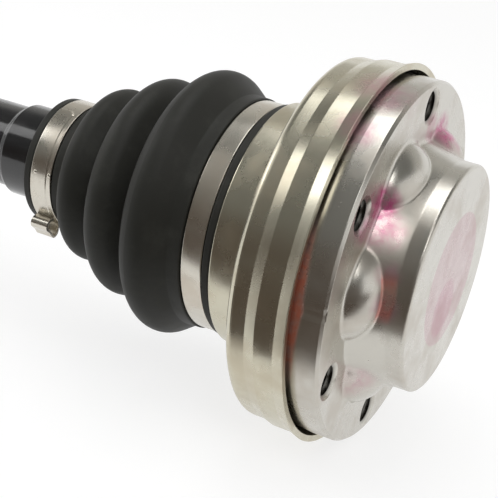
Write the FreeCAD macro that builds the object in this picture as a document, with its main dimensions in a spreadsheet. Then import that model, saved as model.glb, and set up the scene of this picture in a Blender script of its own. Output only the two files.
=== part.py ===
import FreeCAD, Part

import math
import os

import Sketcher
from FreeCAD import Vector

# Rear drive shaft: a plunging ball joint in a flanged housing, a painted bar,
# and a fixed ball joint whose bell carries the splined stub axle.
# Millimetres. The origin is the centre of the flange face, +X points out of
# the boss, the bar runs along -X, and +Z passes through a bolt hole.

# Driving sizes: name, value, what it is
SIZES = [
    ("flange_radius", 54.0, "outer radius of the bolting flange"),
    ("flange_edge", 1.0, "chamfer round the flange face"),
    ("seat_step", 0.4, "turned seat under the boot can, below the flange edge"),
    ("seat_start", 12.5, "flange face to that seat"),
    ("housing_depth", 26.2, "flange face to the open end of the housing"),
    ("housing_lead", 1.5, "lead-in chamfer at the open end"),
    ("boss_radius", 33.8, "machined band of the boss"),
    ("boss_reach", 15.5, "flange face to boss face"),
    ("boss_edge", 0.8, "chamfer round the boss face"),
    ("boss_band", 5.0, "length of the machined band"),
    ("boss_relief", 0.6, "step behind the machined band"),
    ("boss_flare", 1.2, "growth of the boss down to its foot"),
    ("boss_foot", 5.0, "radius where the boss meets the flange"),
    ("boss_end_wall", 3.5, "wall behind the boss face"),
    ("boss_side_wall", 3.9, "side wall of the boss"),
    ("notch_width", 2.8, "index notch on the flange rim"),
    ("notch_depth", 0.6, "depth of the index notch"),
    ("bolt_circle", 47.0, "radius of the bolt circle"),
    ("bolt_hole", 5.0, "radius of a bolt hole"),
    ("bolt_depth", 20.0, "depth of a bolt hole"),
    ("bolt_tip", 2.6, "drill point below a bolt hole"),
    ("bolt_lead", 0.5, "countersink of a bolt hole"),
    ("ways", 6.0, "number of balls, tracks and bolt holes"),
    ("dome_axial", 12.0, "half axis of a track dome along the shaft"),
    ("dome_radial", 13.0, "half axis of a track dome outwards"),
    ("dome_across", 15.0, "half axis of a track dome round the boss"),
    ("dome_sink", 3.5, "dome centre behind the flange face"),
    ("ball_radius", 9.525, "radius of a ball"),
    ("ball_circle", 30.0, "ball centres from the shaft axis"),
    ("track_room", 0.375, "gap between a ball and a housing track"),
    ("race_room", 0.475, "gap between a ball and an inboard race track"),
    ("joint_depth", 14.0, "flange face to the inboard joint centre"),
    ("track_end", 4.0, "flange face to the centre of a track's blind end"),
    ("plunge_reach", 5.0, "plunge each way from the middle"),
    ("cage_outer", 33.5, "outer sphere of a ball cage"),
    ("cage_inner", 27.5, "inner sphere of a ball cage"),
    ("cage_half", 13.5, "half length of a ball cage"),
    ("cage_room", 0.4, "gap round a cage in its housing"),
    ("window_axial", 9.85, "half length of a cage window"),
    ("window_across", 11.5, "half width of a cage window"),
    ("window_corner", 5.0, "corner radius of a cage window"),
    ("race_half", 13.0, "half length of the inboard inner race"),
    ("outer_race_half", 12.0, "half length of the outboard inner race"),
    ("race_gap", 0.5, "gap between a race and its cage"),
    ("race_lead", 1.0, "chamfer in the bore of a race"),
    ("spline_radius", 12.4, "radius of the bar's splined ends"),
    ("seat_gap", 0.03, "clearance of a piece pressed on its seat"),
    ("rubber_gap", 0.3, "room between a boot's small end, its collar and its clamp"),
    ("clip_depth", 1.3, "depth of a retaining ring's groove"),
    ("clip_width", 1.6, "thickness of a retaining ring"),
    ("clip_stand", 1.6, "height of a retaining ring above the spline"),
    ("clip_opening", 48.0, "opening of a retaining ring, degrees"),
    ("bar_tip", 1.4, "bar beyond its retaining ring"),
    ("bar_shoulder", 13.6, "shoulder that a race stops against"),
    ("bar_shoulder_length", 6.0, "length of that shoulder"),
    ("bar_neck", 12.9, "radius of the bar inside the boots"),
    ("bar_taper", 12.0, "length of the taper from shoulder to neck"),
    ("bar_collar", 15.1, "radius of the collar that carries a boot"),
    ("bar_radius", 13.5, "radius of the painted bar between the collars"),
    ("collar_step", 2.0, "length of the steps beside a collar"),
    ("collar_lead", 5.0, "collar inside the boot's small end"),
    ("collar_end", 131.0, "flange face to the end of the collar"),
    ("can_wall", 1.4, "sheet thickness of the boot can"),
    ("lip_stand", 3.2, "can's lip beyond the flange edge"),
    ("lip_start", 9.5, "flange face to the can's lip"),
    ("lip_length", 1.2, "straight part of the lip"),
    ("lip_cone", 1.7, "length of the cone behind the lip"),
    ("drum_stand", 2.0, "can's front band beyond the flange edge"),
    ("drum_length", 6.6, "length of the can's front band"),
    ("step_length", 2.0, "length of the step between the two bands"),
    ("shoulder_round", 2.5, "outer radius at the can's shoulder"),
    ("neck_radius", 37.6, "outer radius of the can's neck"),
    ("neck_bend", 8.0, "inner bend radius from shoulder to neck"),
    ("neck_end", 42.2, "flange face to the end of the neck"),
    ("boot_seat", 32.2, "outer radius of the can's boot seat"),
    ("boot_seat_end", 54.5, "flange face to the end of the boot seat"),
    ("seal_section", 1.1, "section radius of the can seal"),
    ("seal_place", 15.6, "flange face to the can seal"),
    ("seal_side", 0.3, "gap beside the seal in its groove"),
    ("rubber_wall", 2.4, "wall of a boot"),
    ("rubber_hold", 2.8, "rubber under a large clamp"),
    ("rubber_grip", 4.0, "rubber under a small clamp"),
    ("rubber_bead", 1.3, "height of the beads beside a large clamp"),
    ("small_bead", 0.9, "height of the beads beside a small clamp"),
    ("bead_width", 1.5, "width of the beads beside a clamp"),
    ("boot_gap", 0.4, "rim of a boot from the shoulder beside it"),
    ("last_slope", 1.2, "step from the last fold to the small end"),
    ("rubber_lead", 0.8, "lead-in of a boot at its large end"),
    ("boot_rim", 2.6, "rim of a boot before its clamp"),
    ("large_band", 6.6, "width of a large clamp"),
    ("small_band", 7.4, "width of a small clamp"),
    ("band_wall", 0.8, "sheet thickness of a clamp"),
    ("band_edge", 0.2, "rounded edge of a clamp"),
    ("band_room", 0.3, "gap between a clamp and the beads beside it"),
    ("fold_lean", 55.0, "half angle of the arc in a fold, degrees"),
    ("crest_round", 5.4, "rounding of the inboard boot's first two crests"),
    ("crest_round_last", 4.0, "rounding of its third crest"),
    ("valley_round", 1.8, "rounding of a boot's valleys"),
    ("crest_one", 41.6, "radius of the inboard boot's first crest"),
    ("crest_two", 35.0, "radius of its second crest"),
    ("crest_three", 28.2, "radius of its third crest"),
    ("crest_one_place", 66.8, "flange face to the first crest"),
    ("crest_two_place", 82.8, "flange face to the second crest"),
    ("crest_three_place", 98.0, "flange face to the third crest"),
    ("valley_one", 29.5, "radius of its first valley"),
    ("valley_two", 23.8, "radius of its second valley"),
    ("boot_tail", 106.2, "flange face to the boot's small end"),
    ("ear_turn", 230.0, "turn of a small clamp's ear about the shaft, degrees"),
    ("large_ear_turn", 340.0, "turn of the inboard large clamp's ear, degrees"),
    ("outboard_ear_turn", 270.0, "turn of the outboard large clamp's ear, degrees"),
    ("ear_margin", 0.8, "ear narrower than its clamp, on each side"),
    ("ear_height", 4.6, "height of a crimped ear"),
    ("ear_crown", 4.2, "half width of a crimped ear at its crown"),
    ("ear_pinch", 2.6, "half width of a crimped ear at its foot"),
    ("ear_round", 1.4, "outer corner radius of a crimped ear"),
    ("lap_turn", 74.0, "turn from a clamp's ear to its overlapping end, degrees"),
    ("lap_sweep", 24.0, "length of that overlap, degrees"),
    ("lap_rise", 0.4, "height of that overlap"),
    ("shaft_span", 456.0, "distance between the two joint centres"),
    ("bell_radius", 46.0, "outer radius of the bell"),
    ("bell_dome", 30.0, "radius of the bell's rounded back"),
    ("bell_back", 20.0, "joint centre to the start of that rounding"),
    ("bell_floor", 42.0, "joint centre to the back of the bell"),
    ("bell_front", 13.5, "joint centre to the end of the full bell"),
    ("bell_mouth", 26.5, "joint centre to the bell's mouth"),
    ("bell_seat", 42.4, "radius of the bell's boot seat"),
    ("bell_opening", 33.6, "radius inside the bell's mouth"),
    ("bell_throat", 14.0, "joint centre to the end of the inner sphere"),
    ("bell_room", 0.525, "gap between a ball and the outboard tracks"),
    ("bell_ahead", 52.0, "turn of a bell track to the mouth, degrees"),
    ("bell_behind", 16.0, "turn of a bell track to its end, degrees"),
    ("hub_shoulder", 24.0, "radius of the shoulder against the hub"),
    ("hub_shoulder_length", 3.0, "length of that shoulder"),
    ("stub_seat", 15.4, "radius of the plain seat of the stub axle"),
    ("stub_seat_length", 7.0, "length of the plain seat"),
    ("stub_spline", 14.9, "outer radius of the stub's spline"),
    ("stub_spline_length", 50.0, "length of the stub's spline"),
    ("stub_lead", 1.2, "chamfers of the spline and of the thread"),
    ("spline_teeth", 33.0, "number of teeth on the stub's spline"),
    ("spline_depth", 1.1, "depth of a spline groove"),
    ("spline_top", 0.95, "half width of a spline groove at its mouth"),
    ("spline_root", 0.5, "half width of a spline groove at its root"),
    ("thread_radius", 12.0, "radius of the threaded end"),
    ("thread_length", 24.0, "length of the threaded end"),
    ("relief_radius", 11.0, "radius of the undercut before the thread"),
    ("relief_length", 4.0, "length of that undercut"),
    ("centre_hole", 2.5, "radius of the lathe centre hole"),
    ("centre_depth", 6.0, "depth of the lathe centre hole"),
    ("outer_crest", 45.0, "radius of the outboard boot's largest crest"),
    ("outer_crest_drop", 4.75, "crest to crest loss of radius"),
    ("outer_crest_start", 33.5, "joint centre to its first crest"),
    ("outer_pitch", 12.4, "distance between its crests"),
    ("outer_crest_round", 3.9, "rounding of its crests"),
    ("outer_fold", 10.4, "depth of its folds"),
    ("outer_tail", 93.0, "joint centre to its small end"),
]
OUTBOARD_CRESTS = 5

# Sizes that follow from the driving ones, as expressions
INBOARD = "-joint_depth"
OUTBOARD = "-joint_depth - shaft_span"
CAGE_BORE = "(cage_outer + cage_room)"
BOSS_BORE = "(boss_radius - boss_side_wall)"
RACE_SPHERE = "(cage_inner - race_gap)"
DRUM_START = "(lip_start + lip_length + lip_cone)"
STEP_START = f"({DRUM_START} + drum_length)"
STEP_END = f"({STEP_START} + step_length)"
SEAT = "(flange_radius - seat_step)"
LIP = "(flange_radius + lip_stand)"
DRUM = "(flange_radius + drum_stand)"
CROWN = f"({SEAT} + seat_gap + can_wall)"
CAN_INSIDE = "(housing_depth + seat_gap)"
CAN_BACK = f"({CAN_INSIDE} + can_wall)"
SEAL_RADIUS = f"({DRUM} - can_wall - seal_section - seat_gap)"
SEAL_FLOOR = f"({SEAL_RADIUS} - seal_section - seat_gap)"
CLIP_FLOOR = "(spline_radius - clip_depth)"
LARGE_SEAT = "(large_band + 2 * band_room)"
SMALL_SEAT = "(small_band + 2 * band_room)"
GRIP_RADIUS = "(bar_collar + rubber_gap + rubber_grip)"
CLIP_SEAT = "(clip_width + 3 * seat_gap)"
STUB_ROOT = "(bell_floor + hub_shoulder_length + stub_seat_length)"
SPLINE_END = f"({STUB_ROOT} + stub_spline_length)"
STUB_END = f"({SPLINE_END} + relief_length + thread_length)"

NAMES = {alias for alias, _, _ in SIZES}

document = FreeCAD.newDocument("DriveShaft")
sheet = document.addObject("Spreadsheet::Sheet", "Sizes")
for row, (alias, number, _) in enumerate(SIZES, start=1):
    sheet.set(f"A{row}", alias)
    sheet.set(f"B{row}", str(number))
    sheet.setAlias(f"B{row}", alias)
document.recompute()


# Helpers for objects whose sizes are bound to the sheet


def bound(words):
    """Expression in which each size name points at the sheet."""
    parts = []
    word = ""
    for letter in words + " ":
        if letter.isalnum() or letter in "_.":
            word += letter
            continue
        parts.append("Sizes." + word if word in NAMES else word)
        parts.append(letter)
        word = ""
    return "".join(parts).strip()


def size(words):
    """Number that an expression gives."""
    return float(sheet.evalExpression(bound(words)))


def bind(thing, prop, words, unit=""):
    thing.setExpression(prop, f"({bound(words)}){unit}")


def move_to(thing, along="0", across="0", up="0"):
    for letter, words in (("x", along), ("y", across), ("z", up)):
        bind(thing, f".Placement.Base.{letter}", words)


def origin_part(body, role):
    return next(f for f in body.Origin.OriginFeatures if f.Role == role)


def new_body(name):
    body = document.addObject("PartDesign::Body", name)
    body.Label = name
    return body


def new_sketch(body, name, plane="XY_Plane", turn="0", turn_axis=Vector(1, 0, 0), lift="0"):
    """Sketch on an origin plane, turned about a plane axis or lifted off it."""
    sketch = body.newObject("Sketcher::SketchObject", name)
    sketch.AttachmentSupport = [(origin_part(body, plane), "")]
    sketch.MapMode = "FlatFace"
    if turn != "0":
        offset = FreeCAD.Placement(Vector(0, 0, 0), FreeCAD.Rotation(turn_axis, size(turn)))
        sketch.AttachmentOffset = offset
        bind(sketch, ".AttachmentOffset.Rotation.Angle", turn, " * 1 deg")
    if lift != "0":
        bind(sketch, ".AttachmentOffset.Base.z", lift)
    return sketch


def hold(sketch, geometry, point, x, y):
    """Place one point of a sketch at two bound distances."""
    for kind, words in (("DistanceX", x), ("DistanceY", y)):
        made = sketch.addConstraint(
            Sketcher.Constraint(kind, -1, 1, geometry, point, size(words))
        )
        bind(sketch, f"Constraints[{made}]", words)


def round_off(sketch, geometry, radius):
    made = sketch.addConstraint(Sketcher.Constraint("Radius", geometry, size(radius)))
    bind(sketch, f"Constraints[{made}]", radius)


def arc_between(start, end, radius, left):
    """Arc under half a turn, with its centre left or right of the way."""
    chord = end - start
    reach = math.sqrt(max(radius**2 - (chord.Length / 2) ** 2, 0.0))
    side = Vector(-chord.y, chord.x, 0).normalize() * (reach if left else -reach)
    centre = (start + end) * 0.5 + side
    first, last = (start, end) if left else (end, start)
    turns = [math.atan2(p.y - centre.y, p.x - centre.x) for p in (first, last)]
    return Part.ArcOfCircle(Part.Circle(centre, Vector(0, 0, 1), radius), *turns)


def outline(sketch, corners):
    """Closed outline through corners (x, y), each an expression.

    A corner (x, y, radius, side) is reached by an arc whose centre lies on
    that side of the way there, any other corner by a straight line.
    """
    points = [Vector(size(c[0]), size(c[1]), 0) for c in corners]
    edges = []
    for index, corner in enumerate(corners):
        start, end = points[index - 1], points[index]
        if len(corner) == 2:
            edges.append((sketch.addGeometry(Part.LineSegment(start, end), False), 1, 2))
            continue
        left = corner[3] == "left"
        arc = arc_between(start, end, size(corner[2]), left)
        made = sketch.addGeometry(arc, False)
        edges.append((made, 1, 2) if left else (made, 2, 1))
    for index, corner in enumerate(corners):
        made, _, last = edges[index]
        after, first, _ = edges[(index + 1) % len(edges)]
        sketch.addConstraint(Sketcher.Constraint("Coincident", made, last, after, first))
        hold(sketch, made, last, corner[0], corner[1])
        if len(corner) == 4:
            round_off(sketch, made, corner[2])


def circle_at(sketch, x, y, radius):
    disc = Part.Circle(Vector(size(x), size(y), 0), Vector(0, 0, 1), size(radius))
    made = sketch.addGeometry(disc, False)
    hold(sketch, made, 3, x, y)
    round_off(sketch, made, radius)


def axis_line(sketch, height):
    """Construction line along the shaft at a height, as an axis to turn about."""
    ends = [Vector(0, size(height), 0), Vector(size("housing_depth"), size(height), 0)]
    made = sketch.addGeometry(Part.LineSegment(*ends), True)
    hold(sketch, made, 1, "0", height)
    hold(sketch, made, 2, "housing_depth", height)


def turned(body, name, corners, kind="Revolution", height=None, turn="0"):
    """Outline in x and radius, turned about the shaft or a line beside it."""
    sketch = new_sketch(body, name + "Outline", turn=turn)
    outline(sketch, corners)
    if height is not None:
        axis_line(sketch, height)
    feature = body.newObject("PartDesign::" + kind, name)
    feature.Profile = (sketch, [""])
    feature.ReferenceAxis = (sketch, ["H_Axis" if height is None else "Axis0"])
    feature.Angle = 360.0
    return feature


def cut_through(body, name, sketch, both_ways=False):
    pocket = body.newObject("PartDesign::Pocket", name)
    pocket.Profile = (sketch, [""])
    pocket.Type = "ThroughAll"
    if both_ways:
        pocket.SideType = "Symmetric"
    return pocket


def repeated(body, name, features, count="ways"):
    """Features repeated round the shaft axis."""
    document.recompute()
    pattern = body.newObject("PartDesign::PolarPattern", name)
    pattern.Originals = features
    pattern.Axis = (origin_part(body, "X_Axis"), [""])
    pattern.Angle = 360.0
    bind(pattern, "Occurrences", count)
    body.Tip = pattern
    return pattern


def sphere_edge(radius, half):
    """Height of a sphere at a distance from its centre along the shaft."""
    return f"sqrt(({radius})^2 - ({half})^2)"


# Flange housing: turned blank, forged track domes, blind ball tracks


def make_flange_housing():
    body = new_body("flange_housing")
    foot = "(boss_radius - boss_relief + boss_flare)"
    seal_half = "(seal_section + seal_side)"
    turned(
        body,
        "Blank",
        [
            ("boss_reach", "0"),
            ("-housing_depth", "0"),
            ("-housing_depth", f"{SEAT} - housing_lead"),
            ("-housing_depth + housing_lead", SEAT),
            (f"-seal_place - {seal_half}", SEAT),
            (f"-seal_place - {seal_half}", SEAL_FLOOR),
            (f"-seal_place + {seal_half}", SEAL_FLOOR),
            (f"-seal_place + {seal_half}", SEAT),
            ("-seat_start", SEAT),
            ("-seat_start", "flange_radius"),
            ("-flange_edge", "flange_radius"),
            ("0", "flange_radius - flange_edge"),
            ("0", f"{foot} + boss_foot"),
            ("boss_foot", foot, "boss_foot", "left"),
            ("boss_reach - boss_band - boss_relief", "boss_radius - boss_relief"),
            ("boss_reach - boss_band", "boss_radius"),
            ("boss_reach - boss_edge", "boss_radius"),
            ("boss_reach", "boss_radius - boss_edge"),
        ],
    )
    dome = body.newObject("PartDesign::AdditiveEllipsoid", "Dome")
    bind(dome, "Radius1", "dome_across")
    bind(dome, "Radius2", "dome_axial")
    bind(dome, "Radius3", "dome_radial")
    move_to(dome, along="-dome_sink", across="ball_circle")
    repeated(body, "Domes", [dome])
    rounding = f"-joint_depth + plunge_reach + {sphere_edge(CAGE_BORE, BOSS_BORE)}"
    turned(
        body,
        "Cavity",
        [
            ("-housing_depth", "0"),
            ("-housing_depth", CAGE_BORE),
            ("-joint_depth + plunge_reach", CAGE_BORE),
            (rounding, BOSS_BORE, CAGE_BORE, "right"),
            ("boss_reach - boss_end_wall", BOSS_BORE),
            ("boss_reach - boss_end_wall", "0"),
        ],
        "Groove",
    )
    track_radius = "(ball_radius + track_room)"
    track = turned(
        body,
        "Track",
        [
            ("-housing_depth", "ball_circle"),
            ("-housing_depth", f"ball_circle + {track_radius}"),
            ("-track_end", f"ball_circle + {track_radius}"),
            (f"-track_end + {track_radius}", "ball_circle", track_radius, "right"),
        ],
        "Groove",
        height="ball_circle",
    )
    repeated(body, "Tracks", [track])
    hole = turned(
        body,
        "BoltHole",
        [
            ("-bolt_depth - bolt_tip", "bolt_circle"),
            ("-bolt_depth", "bolt_circle + bolt_hole"),
            ("-bolt_lead", "bolt_circle + bolt_hole"),
            ("0", "bolt_circle + bolt_hole + bolt_lead"),
            ("0", "bolt_circle"),
        ],
        "Groove",
        height="bolt_circle",
        turn="180 / ways",
    )
    repeated(body, "BoltHoles", [hole])
    mark = new_sketch(body, "NotchOutline", "YZ_Plane")
    outline(
        mark,
        [
            ("-flange_radius - notch_depth", "-notch_width / 2"),
            ("-flange_radius + notch_depth", "-notch_width / 2"),
            ("-flange_radius + notch_depth", "notch_width / 2"),
            ("-flange_radius - notch_depth", "notch_width / 2"),
        ],
    )
    notch = body.newObject("PartDesign::Pocket", "Notch")
    notch.Profile = (mark, [""])
    bind(notch, "Length", "seat_start")
    return body


# Boot can: one pressed sheet, from the lip over the housing to the boot seat


def make_boot_can():
    body = new_body("boot_can")
    bend_outer = "(neck_bend - can_wall)"
    inner_round = "(shoulder_round - can_wall)"
    turned(
        body,
        "Sheet",
        [
            ("-lip_start", f"{LIP} - can_wall"),
            ("-lip_start", LIP),
            ("-lip_start - lip_length", LIP),
            (f"-{DRUM_START}", DRUM),
            (f"-{STEP_START}", DRUM),
            (f"-{STEP_END}", CROWN),
            (f"-{CAN_BACK} + shoulder_round", CROWN),
            (f"-{CAN_BACK}", f"{CROWN} - shoulder_round", "shoulder_round", "left"),
            (f"-{CAN_BACK}", f"neck_radius + {bend_outer}"),
            (f"-{CAN_BACK} - {bend_outer}", "neck_radius", bend_outer, "right"),
            ("-neck_end", "neck_radius"),
            ("-neck_end", "boot_seat"),
            ("-boot_seat_end", "boot_seat"),
            ("-boot_seat_end", "boot_seat - can_wall"),
            ("-neck_end + can_wall", "boot_seat - can_wall"),
            ("-neck_end + can_wall", "neck_radius - can_wall"),
            (f"-{CAN_INSIDE} - neck_bend", "neck_radius - can_wall"),
            (f"-{CAN_INSIDE}", f"neck_radius + {bend_outer}", "neck_bend", "left"),
            (f"-{CAN_INSIDE}", f"{CROWN} - shoulder_round"),
            (f"-{CAN_BACK} + shoulder_round", f"{CROWN} - can_wall", inner_round, "right"),
            (f"-{STEP_END}", f"{CROWN} - can_wall"),
            (f"-{STEP_START}", f"{DRUM} - can_wall"),
            (f"-{DRUM_START}", f"{DRUM} - can_wall"),
            ("-lip_start - lip_length", f"{LIP} - can_wall"),
        ],
    )
    return body


def make_can_seal():
    ring = document.addObject("Part::Torus", "can_seal")
    ring.Label = "can_seal"
    bind(ring, "Radius1", SEAL_RADIUS)
    bind(ring, "Radius2", "seal_section")
    move_to(ring, along="-seal_place")
    ring.Placement.Rotation = FreeCAD.Rotation(Vector(0, 1, 0), 90)
    return ring


# Ball joint inner parts, alike at both ends


def make_inner_race(name, place, half, room, curved):
    """Inner race with straight tracks, or with tracks curved about its centre."""
    body = new_body(name)
    edge = sphere_edge(RACE_SPHERE, half)
    bore = "(spline_radius + seat_gap)"
    turned(
        body,
        "Ring",
        [
            (f"-{half}", f"{bore} + race_lead"),
            (f"-{half}", edge),
            (half, edge, RACE_SPHERE, "right"),
            (half, f"{bore} + race_lead"),
            (f"{half} - race_lead", bore),
            (f"-{half} + race_lead", bore),
        ],
    )
    sketch = new_sketch(body, "TrackOutline", "YZ_Plane")
    circle_at(sketch, "ball_circle", "0", f"ball_radius + {room}")
    if curved:
        track = body.newObject("PartDesign::Groove", "Track")
        track.Profile = (sketch, [""])
        track.ReferenceAxis = (sketch, ["V_Axis"])
        track.Midplane = True
        track.Angle = 150.0
    else:
        track = cut_through(body, "Track", sketch, both_ways=True)
    repeated(body, "Tracks", [track])
    move_to(body, along=place)
    return body


def make_cage(name, place):
    body = new_body(name)
    outer, inner = (sphere_edge(r, "cage_half") for r in ("cage_outer", "cage_inner"))
    turned(
        body,
        "Ring",
        [
            ("-cage_half", inner, "cage_inner", "left"),
            ("-cage_half", outer),
            ("cage_half", outer, "cage_outer", "right"),
            ("cage_half", inner),
        ],
    )
    sketch = new_sketch(body, "WindowOutline", "XZ_Plane")
    a, b, c = "window_axial", "window_across", "window_corner"
    outline(
        sketch,
        [
            (a, f"-{b} + {c}", c, "left"),
            (a, f"{b} - {c}"),
            (f"{a} - {c}", b, c, "left"),
            (f"-{a} + {c}", b),
            (f"-{a}", f"{b} - {c}", c, "left"),
            (f"-{a}", f"-{b} + {c}"),
            (f"-{a} + {c}", f"-{b}", c, "left"),
            (f"{a} - {c}", f"-{b}"),
        ],
    )
    window = cut_through(body, "Window", sketch)
    repeated(body, "Windows", [window])
    move_to(body, along=place)
    return body


def make_ball(name, place, step):
    ball = document.addObject("Part::Sphere", name)
    ball.Label = name
    bind(ball, "Radius", "ball_radius")
    turn = f"{step} * 360 deg / ways"
    move_to(ball, place, f"ball_circle * cos({turn})", f"ball_circle * sin({turn})")
    return ball


def make_retaining_ring(name, place):
    """Open ring in the groove of the bar, its gap on the -Y side."""
    body = new_body(name)
    ring = turned(
        body,
        "Ring",
        [
            ("0", f"{CLIP_FLOOR} + seat_gap"),
            ("0", "spline_radius + clip_stand"),
            ("clip_width", "spline_radius + clip_stand"),
            ("clip_width", f"{CLIP_FLOOR} + seat_gap"),
        ],
    )
    ring.Midplane = True
    bind(ring, "Angle", "360 - clip_opening")
    move_to(body, along=place)
    return body


# Painted bar with a splined end and a boot collar at each side


def make_shaft_bar():
    """Both ends follow the same steps, each measured from its joint centre."""
    body = new_body("shaft_bar")
    ends = []
    for half, tail in (("race_half", "boot_tail - joint_depth"), ("outer_race_half", "outer_tail")):
        tip = f"({half} + {CLIP_SEAT} + bar_tip)"
        stop = f"({half} + seat_gap)"
        start = f"({tail} - collar_lead)"
        finish = f"({tail} + collar_end - boot_tail)"
        ends.append(
            [
                (f"-{tip}", "0"),
                (f"-{tip}", "spline_radius - race_lead"),
                (f"-{tip} + race_lead", "spline_radius"),
                (f"-{half} - {CLIP_SEAT}", "spline_radius"),
                (f"-{half} - {CLIP_SEAT}", CLIP_FLOOR),
                (f"-{half}", CLIP_FLOOR),
                (f"-{half}", "spline_radius"),
                (stop, "spline_radius"),
                (stop, "bar_shoulder"),
                (f"{stop} + bar_shoulder_length", "bar_shoulder"),
                (f"{stop} + bar_shoulder_length + bar_taper", "bar_neck"),
                (f"{start} - collar_step", "bar_neck"),
                (start, "bar_collar"),
                (finish, "bar_collar"),
                (f"{finish} + collar_step", "bar_radius"),
            ]
        )
    inboard = [(f"{INBOARD} - ({x})", r) for x, r in ends[0]]
    outboard = [(f"{OUTBOARD} + ({x})", r) for x, r in ends[1]]
    turned(body, "Bar", inboard + outboard[::-1])
    return body


# Boots and their clamps. A boot runs along -X from the shoulder beside it.


def make_boot(name, shoulder, seat, seat_end, folds, tail):
    """Folds are (place, radius, rounding), crests and valleys by turns."""
    body = new_body(name)
    inside = f"({seat} + seat_gap)"
    hold_radius = f"({inside} + rubber_hold)"
    rim = f"({shoulder} + boot_gap)"
    band = f"({rim} + boot_rim)"
    band_end = f"({band} + {LARGE_SEAT})"
    grip = f"({tail} + bead_width)"
    grip_end = f"({grip} + {SMALL_SEAT})"
    way_out, way_back = [], []
    for index, (place, radius, rounding) in enumerate(folds):
        crest = index % 2 == 0
        centre = f"({radius} - {rounding})" if crest else f"({radius} + {rounding})"
        sign = "+" if crest else "-"
        inner = f"({rounding} - rubber_wall)" if crest else f"({rounding} + rubber_wall)"
        for side, arc in (("-", rounding), ("+", inner)):
            reach = f"{arc} * sin(fold_lean * 1 deg)"
            height = f"{centre} {sign} {arc} * cos(fold_lean * 1 deg)"
            if side == "-":
                way_out.append((f"-{place} + {reach}", height))
                way_out.append((f"-{place} - {reach}", height, arc, "left" if crest else "right"))
            else:
                way_back.append((f"-{place} + {reach}", height, arc, "right" if crest else "left"))
                way_back.append((f"-{place} - {reach}", height))
    collar = "(bar_collar + rubber_gap)"
    turned(
        body,
        "Bellows",
        [
            (f"-{rim}", inside),
            (f"-{rim}", f"{hold_radius} + rubber_bead"),
            (f"-{band}", f"{hold_radius} + rubber_bead"),
            (f"-{band}", hold_radius),
            (f"-{band_end}", hold_radius),
            (f"-{band_end}", f"{hold_radius} + rubber_bead"),
            (f"-{band_end} - bead_width", f"{hold_radius} + rubber_bead"),
        ]
        + way_out
        + [
            (f"-{tail} + last_slope", f"{GRIP_RADIUS} + small_bead"),
            (f"-{grip}", f"{GRIP_RADIUS} + small_bead"),
            (f"-{grip}", GRIP_RADIUS),
            (f"-{grip_end}", GRIP_RADIUS),
            (f"-{grip_end}", f"{GRIP_RADIUS} + small_bead"),
            (f"-{grip_end} - boot_rim", f"{GRIP_RADIUS} + small_bead"),
            (f"-{grip_end} - boot_rim", collar),
            (f"-{tail} + last_slope", collar),
        ]
        + way_back[::-1]
        + [
            (f"-{seat_end} - rubber_lead", f"{inside} + rubber_lead"),
            (f"-{seat_end}", inside),
        ],
    )
    return body


def make_inboard_boot():
    first = "((crest_one_place + crest_two_place) / 2)"
    second = "((crest_two_place + crest_three_place) / 2)"
    folds = [
        ("crest_one_place", "crest_one", "crest_round"),
        (first, "valley_one", "valley_round"),
        ("crest_two_place", "crest_two", "crest_round"),
        (second, "valley_two", "valley_round"),
        ("crest_three_place", "crest_three", "crest_round_last"),
    ]
    return make_boot(
        "inboard_boot", "neck_end", "boot_seat", "boot_seat_end", folds, "boot_tail"
    )


def make_outboard_boot():
    folds = []
    for step in range(OUTBOARD_CRESTS):
        place = f"(outer_crest_start + {step} * outer_pitch)"
        radius = f"(outer_crest - {step} * outer_crest_drop)"
        folds.append((place, radius, "outer_crest_round"))
        if step < OUTBOARD_CRESTS - 1:
            valley = f"({place} + outer_pitch / 2)"
            folds.append((valley, f"({radius} - outer_fold)", "valley_round"))
    boot = make_boot(
        "outboard_boot", "bell_front", "bell_seat", "bell_mouth", folds, "outer_tail"
    )
    boot.Placement.Rotation = FreeCAD.Rotation(Vector(0, 0, 1), 180)
    move_to(boot, along=OUTBOARD)
    return boot


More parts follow.
